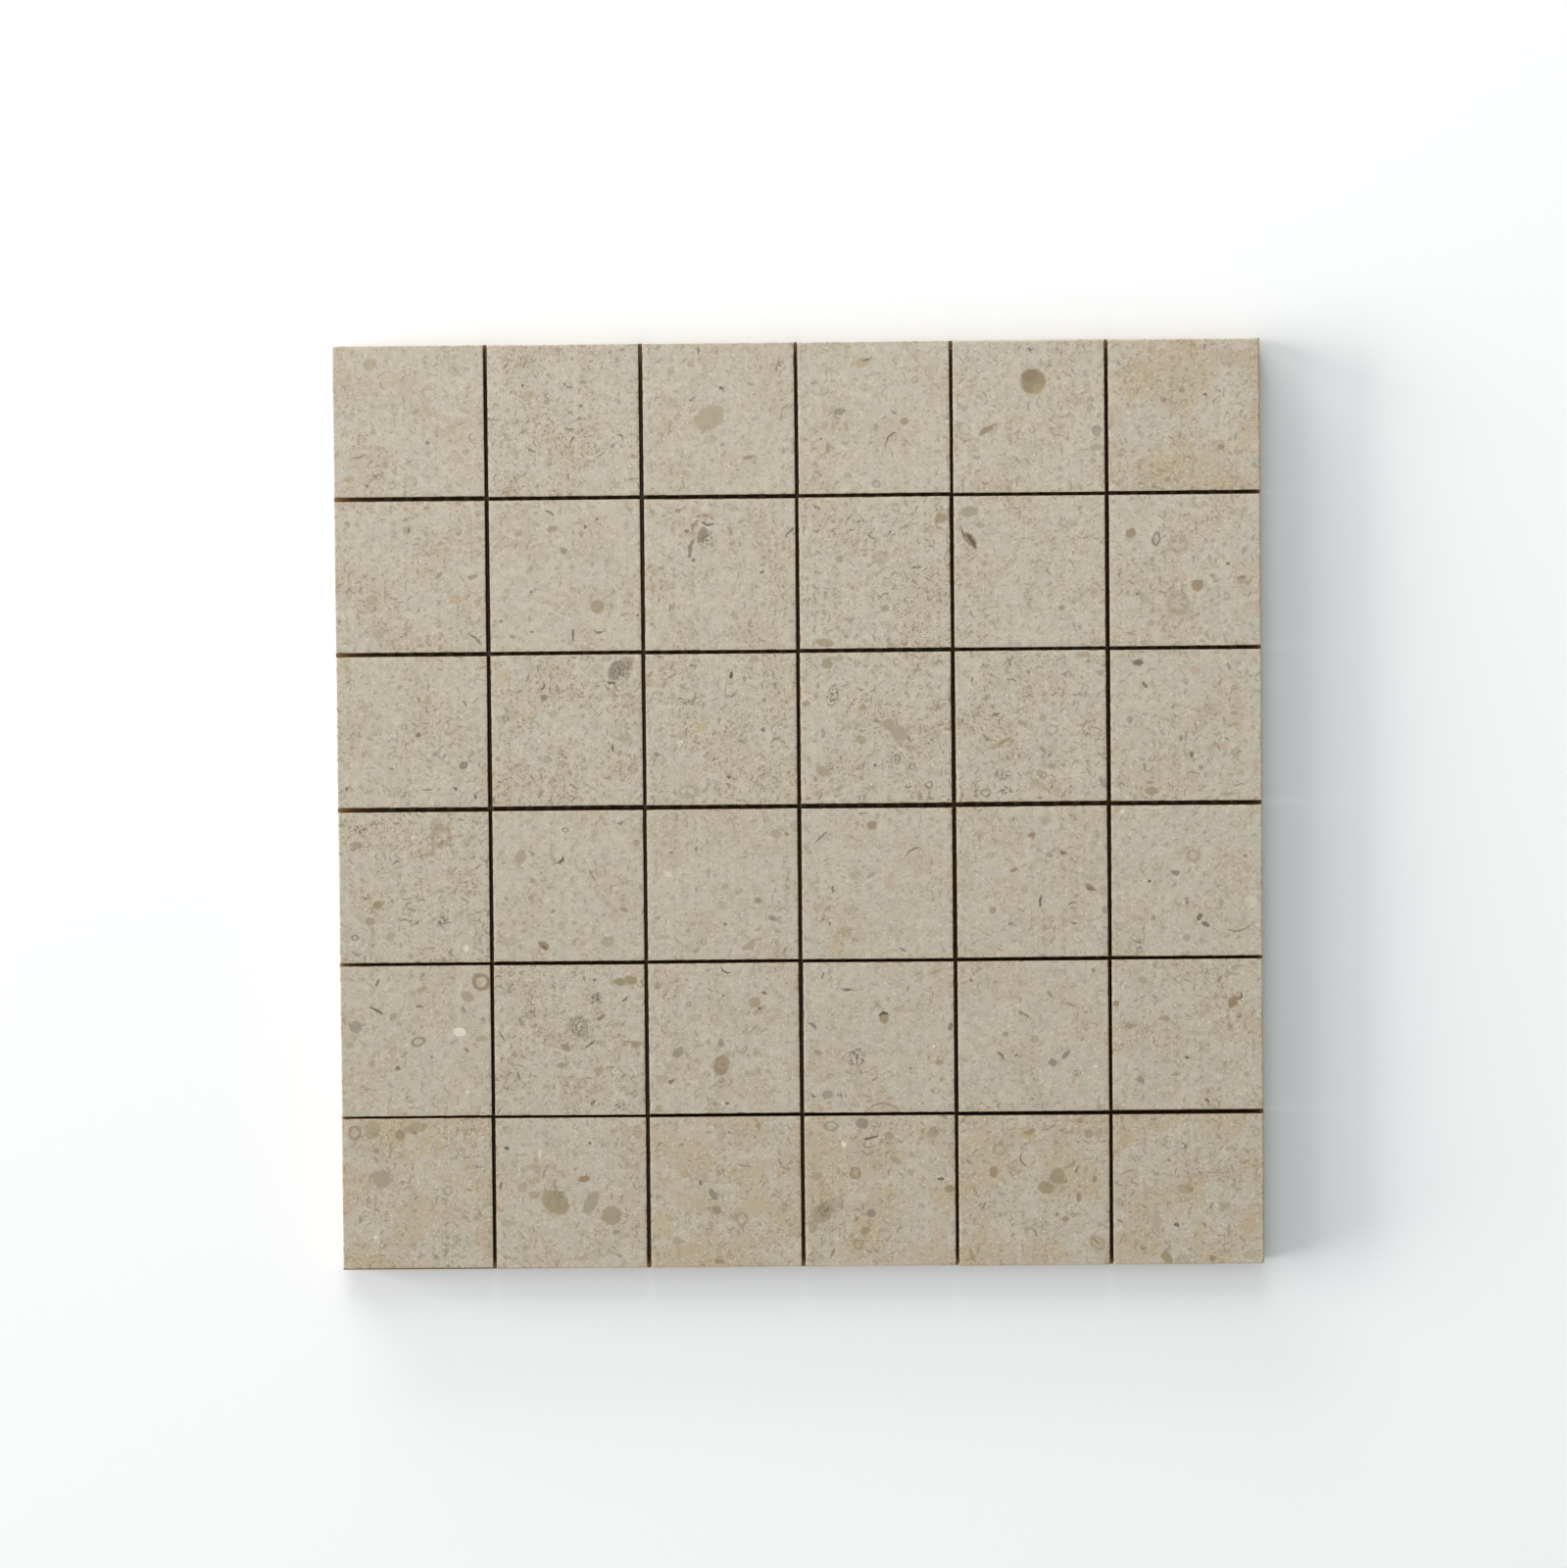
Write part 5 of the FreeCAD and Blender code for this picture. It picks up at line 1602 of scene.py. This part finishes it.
@dataclass(frozen=True)
class Net:
    """The woven net: flat strands up the sheet, and pairs of thin yarns twisted across them.

    All sizes are in millimetres. The salts are a step from one strand or thread to the next and a start,
    which keep two noises from lining up.

    Attributes:
        strand_width: Width of a strand.
        strand_thickness: Its thickness.
        strand_flat: Share of its width that is flat.
        strand_pitch: Distance between strands.
        strands: How many there are.
        strand_steps: Points on a strand between two threads.
        strand_overhang: How far a strand goes past the first thread.
        fullness: A strand's mean width as a share of its full width.
        pinch: How much more the threads pinch it.
        swell: How much its width varies besides.
        swell_length: Length of that variation.
        wander: How far a strand drifts to the side.
        wander_length: Length of the drift.
        thread_pitch: Distance between threads.
        threads: How many there are.
        thread_steps: Points on a yarn between two strands.
        thread_overhang: How far a thread goes past the first strand.
        thread_wander: How far a thread drifts up and down the sheet.
        thread_wander_length: Length of the drift.
        twist: How far a thread's two yarns swing to either side.
        yarn_width: Width of a yarn.
        yarn_thickness: Its thickness.
        thickness: Thickness of the whole net.
        strand_stretch: How the strands' filaments are drawn out.
        yarn_stretch: How the yarns' filaments are drawn out.
        sharp_angle: Angle in degrees past which an edge stays sharp.
    """

    strand_width: float = 2.5
    strand_thickness: float = 0.16
    strand_flat: float = 0.6
    strand_pitch: float = 6.36
    strands: int = 44
    strand_steps: int = 2
    strand_overhang: float = 0.3
    fullness: float = 0.94
    pinch: float = 0.05
    swell: float = 0.06
    swell_length: float = 14.0
    swell_salt: Pair = (1.7, 8.5)
    wander: float = 0.45
    wander_length: float = 90.0
    wander_salt: Pair = (0.23, 4.2)
    thread_pitch: float = 4.8
    threads: int = 62
    thread_steps: int = 4
    thread_overhang: float = 0.6
    thread_wander: float = 0.25
    thread_wander_length: float = 30.0
    thread_salt: Pair = (0.9, 2.6)
    twist: float = 0.12
    yarn_width: float = 0.3
    yarn_thickness: float = 0.12
    thickness: float = 0.4
    strand_stretch: Triple = (1.0, 0.04, 1.0)
    yarn_stretch: Triple = (0.04, 1.0, 1.0)
    sharp_angle: float = 60.0

    def strand_middle(self, number: int, y: float, first: float) -> float:
        """Find a strand's middle across the sheet.

        Args:
            number: Which strand, from the left.
            y: Place up the sheet.
            first: Where the first strand is.

        Returns:
            The place across the sheet.
        """
        step, start = self.wander_salt
        drift = noise.noise(Vector((number * step, y / self.wander_length, start)))
        return first + number * self.strand_pitch + self.wander * drift

    def strand_half(self, number: int, y: float, top: float) -> float:
        """Find half a strand's width, which is least where a thread crosses it.

        Args:
            number: Which strand, from the left.
            y: Place up the sheet.
            top: The net's top end.

        Returns:
            Half its width.
        """
        step, start = self.swell_salt
        pinch = self.fullness + self.pinch * math.cos(math.tau * (top - y) / self.thread_pitch)
        swell = 1.0 + self.swell * noise.noise(Vector((number * step, y / self.swell_length, start)))
        return self.strand_width / 2 * min(1.0, pinch * swell)

    def tube(self, points: list[Vector], faces: Faces, middles: list[Vector],
             profiles: list[list[Pair]], across: Vector) -> None:
        """Add a closed tube to a mesh.

        Args:
            points: The mesh's points, which grow.
            faces: The mesh's faces, which grow.
            middles: The tube's centre line.
            profiles: Its outline at each of those points, as (across, up) pairs.
            across: The direction of an outline's first number.
        """
        first = len(points)
        count = len(profiles[0])
        for middle, profile in zip(middles, profiles):
            points.extend(middle + across * side + Vector((0.0, 0.0, rise)) for side, rise in profile)
        for ring in range(len(middles) - 1):
            low = first + ring * count
            for spot in range(count):
                after = (spot + 1) % count
                faces.append((low + spot, low + after, low + count + after, low + count + spot))
        faces.append(tuple(range(first + count - 1, first - 1, -1)))
        last = first + (len(middles) - 1) * count
        faces.append(tuple(range(last, last + count)))

    def make(self, name: str, points: list[Vector], faces: Faces,
             finish: bpy.types.Material) -> bpy.types.Object:
        """Make and dress one kind of the net's parts.

        Args:
            name: Its name.
            points: Its points in millimetres.
            faces: Its faces, as numbers of points.
            finish: Its material.

        Returns:
            The object.
        """
        piece = build_object(name, [point * MM for point in points], faces, self.sharp_angle)
        piece.data.materials.append(finish)
        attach(piece, "root")
        LOG.info("%s: %d faces", name, len(faces))
        return piece

    def build_strands(self, left: float, top: float, bottom: float) -> None:
        """Build the flat strands.

        Args:
            left: Where the first strand's middle is.
            top: The net's top end.
            bottom: The net's bottom end.
        """
        points: list[Vector] = []
        faces: Faces = []
        steps = self.strand_steps * self.threads
        high = self.strand_thickness / 2
        for number in range(self.strands):
            middles = []
            profiles = []
            for step in range(steps + 1):
                y = top + (bottom - top) * step / steps
                half = self.strand_half(number, y, top)
                flat = half * self.strand_flat
                middles.append(Vector((self.strand_middle(number, y, left), y, self.thickness / 2)))
                profiles.append([(-half, 0.0), (-flat, -high), (flat, -high),
                                 (half, 0.0), (flat, high), (-flat, high)])
            self.tube(points, faces, middles, profiles, Vector((1.0, 0.0, 0.0)))
        finish = GlassFibre().build("glass_fibre_strand", self.strand_stretch)
        piece = self.make("net_strands", points, faces, finish)
        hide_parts(*["net_band_%d" % number for number in range(1, NET_BANDS + 1)])

    def yarn_line(self, number: int, side: int, ends: Pair, top: float) -> list[Vector]:
        """Lay one yarn over and under each strand in turn.

        Args:
            number: Which thread, from the top.
            side: Which of the thread's two yarns, 0 or 1.
            ends: Where the first strand's middle and the net's right end are.
            top: Where the first thread is.

        Returns:
            The yarn's centre line.
        """
        left, right = ends
        salt, start = self.thread_salt
        rise = (self.thickness - self.yarn_thickness) / 2
        middles = []
        for step in range(-1, self.thread_steps * (self.strands - 1) + 2):
            x = left + step * self.strand_pitch / self.thread_steps
            x = min(max(x, left - self.strand_width / 2 - self.thread_overhang), right)
            twist = math.pi * (step / self.thread_steps + side)
            drift = noise.noise(Vector((x / self.thread_wander_length, number * salt, start)))
            y = (top - number * self.thread_pitch + self.thread_wander * drift
                 + self.twist * math.sin(twist))
            middles.append(Vector((x, y, self.thickness / 2 + rise * math.cos(twist))))
        return middles

    def build_threads(self, left: float, right: float, top: float) -> None:
        """Build the twisted pairs of yarns.

        Args:
            left: Where the first strand's middle is.
            right: The net's right end.
            top: Where the first thread is.
        """
        points: list[Vector] = []
        faces: Faces = []
        half = self.yarn_width / 2
        high = self.yarn_thickness / 2
        profile = [(-half, 0.0), (0.0, high), (half, 0.0), (0.0, -high)]
        for number in range(self.threads):
            for side in (0, 1):
                middles = self.yarn_line(number, side, (left, right), top)
                self.tube(points, faces, middles, [profile] * len(middles), Vector((0.0, 1.0, 0.0)))
        finish = GlassFibre().build("glass_fibre_yarn", self.yarn_stretch)
        self.make("net_yarns", points, faces, finish)

    def build(self) -> None:
        """Build the net where the frame's bands are."""
        low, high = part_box("net_band_1")
        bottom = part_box("net_band_%d" % NET_BANDS)[0].y / MM
        left = low.x / MM + self.thread_overhang + self.strand_width / 2
        right = high.x / MM
        top = high.y / MM
        self.build_strands(left, top, bottom)
        self.build_threads(left, right, top - self.strand_overhang)


@dataclass(frozen=True)
class Panel:
    """One soft panel light that faces the sheet.

    Attributes:
        name: Its name.
        place: Where it is, in metres.
        size: Its width and height in metres.
        power: Its power in watts.
        mirrored: Whether it shows in reflections.
    """

    name: str
    place: Triple
    size: Pair
    power: float
    mirrored: bool

    def hang(self, colour: Triple) -> None:
        """Add the light to the scene.

        Args:
            colour: Its colour.
        """
        data = bpy.data.lights.new(self.name, "AREA")
        data.shape = "RECTANGLE"
        data.size, data.size_y = self.size
        data.energy = self.power
        data.color = colour
        panel = bpy.data.objects.new(self.name, data)
        panel.location = self.place
        panel.rotation_euler = (-Vector(self.place)).to_track_quat("-Z", "Y").to_euler()
        panel.visible_glossy = self.mirrored
        bpy.context.scene.collection.objects.link(panel)


@dataclass(frozen=True)
class Studio:
    """The pale floor and the soft light.

    Attributes:
        floor_size: The floor's side in metres.
        floor_drop: How far it lies under the sheet, in millimetres.
        floor_grain: Size of its grain in millimetres.
        shade_low: Left and bottom ends of the floor's painted shade under the sheet, in millimetres.
        shade_high: Right and top ends of it.
        sky_colour: The sky's colour.
        sky_strength: The sky's strength.
        panel_colour: The panels' colour.
        panels: Two low panels at the left throw the wide shadow, and two small ones at the top the short one.
    """

    floor_size: float = 8.0
    floor_drop: float = 0.02
    floor_grain: float = 2.0
    shade_low: Pair = (-150.3, -150.9)
    shade_high: Pair = (150.2, 150.0)
    sky_colour: tuple[float, float, float, float] = (0.91, 0.972, 1.0, 1.0)
    sky_strength: float = 0.435
    panel_colour: Triple = (1.0, 0.97, 0.945)
    panels: tuple[Panel, ...] = (
        Panel("left_window", (-12.0, 0.0, 1.93), (9.0, 3.02), 2490.0, False),
        Panel("left_panel", (-6.0, 0.0, 2.75), (3.9, 2.29), 124.0, False),
        Panel("corner_panel", (-0.76, 1.63, 0.27), (1.45, 0.355), 28.0, True),
        Panel("top_panel", (-0.08, 1.6, 1.09), (0.68, 0.9), 8.6, True),
    )

    def floor_finish(self) -> bpy.types.Material:
        """Make the floor's finish: pale, with a patch of painted shade where the sheet keeps the light out.

        Returns:
            The material.
        """
        shader = Shader("pale_floor")
        place = shader.sheet_place()
        across, up, _ = place.parts()
        # Painted shade: a dark brown patch on the floor under the sheet, a little past its edges, which
        # darkens the joints
        painted_shade_mask = across.above(self.shade_low[0]) * up.above(self.shade_low[1])
        painted_shade_mask = painted_shade_mask * (self.shade_high[0] - across).above(0.0) * (self.shade_high[1] - up).above(0.0)
        grain = shader.noise(place, self.floor_grain, 2.0)
        return shader.surface({
            "Base Color": shader.mix(painted_shade_mask, Tone.FLOOR, Tone.PAINTED_SHADE_UNDER_SHEET),
            "Roughness": grain.ease(0.3, 0.7, 0.75, 0.85),
        })

    def build_floor(self) -> None:
        """Lay the floor just under the sheet."""
        half = self.floor_size / 2
        mesh = bpy.data.meshes.new("floor")
        corners = [(-half, -half, 0.0), (half, -half, 0.0), (half, half, 0.0), (-half, half, 0.0)]
        mesh.from_pydata(corners, [], [(0, 1, 2, 3)])
        floor = bpy.data.objects.new("floor", mesh)
        floor.location.z = -self.floor_drop * MM
        bpy.context.scene.collection.objects.link(floor)
        floor.data.materials.append(self.floor_finish())

    def build_sky(self) -> None:
        """Add the soft sky."""
        world = bpy.data.worlds.new("soft_sky")
        world.use_nodes = True
        background = world.node_tree.nodes["Background"]
        background.inputs["Color"].default_value = self.sky_colour
        background.inputs["Strength"].default_value = self.sky_strength
        bpy.context.scene.world = world

    def build(self) -> None:
        """Add the floor, the sky and the panels."""
        self.build_floor()
        self.build_sky()
        for panel in self.panels:
            panel.hang(self.panel_colour)
        LOG.info("studio: floor, sky and %d panels", len(self.panels))


def main() -> None:
    """Build the sheet piece by piece, then the camera and the light."""
    logging.basicConfig(level=logging.INFO, format="%(name)s: %(message)s")
    bpy.context.scene.view_settings.view_transform = "Standard"
    CAMERA.build()
    Chips().build()
    Net().build()
    Studio().build()


if __name__ == "__main__":
    main()
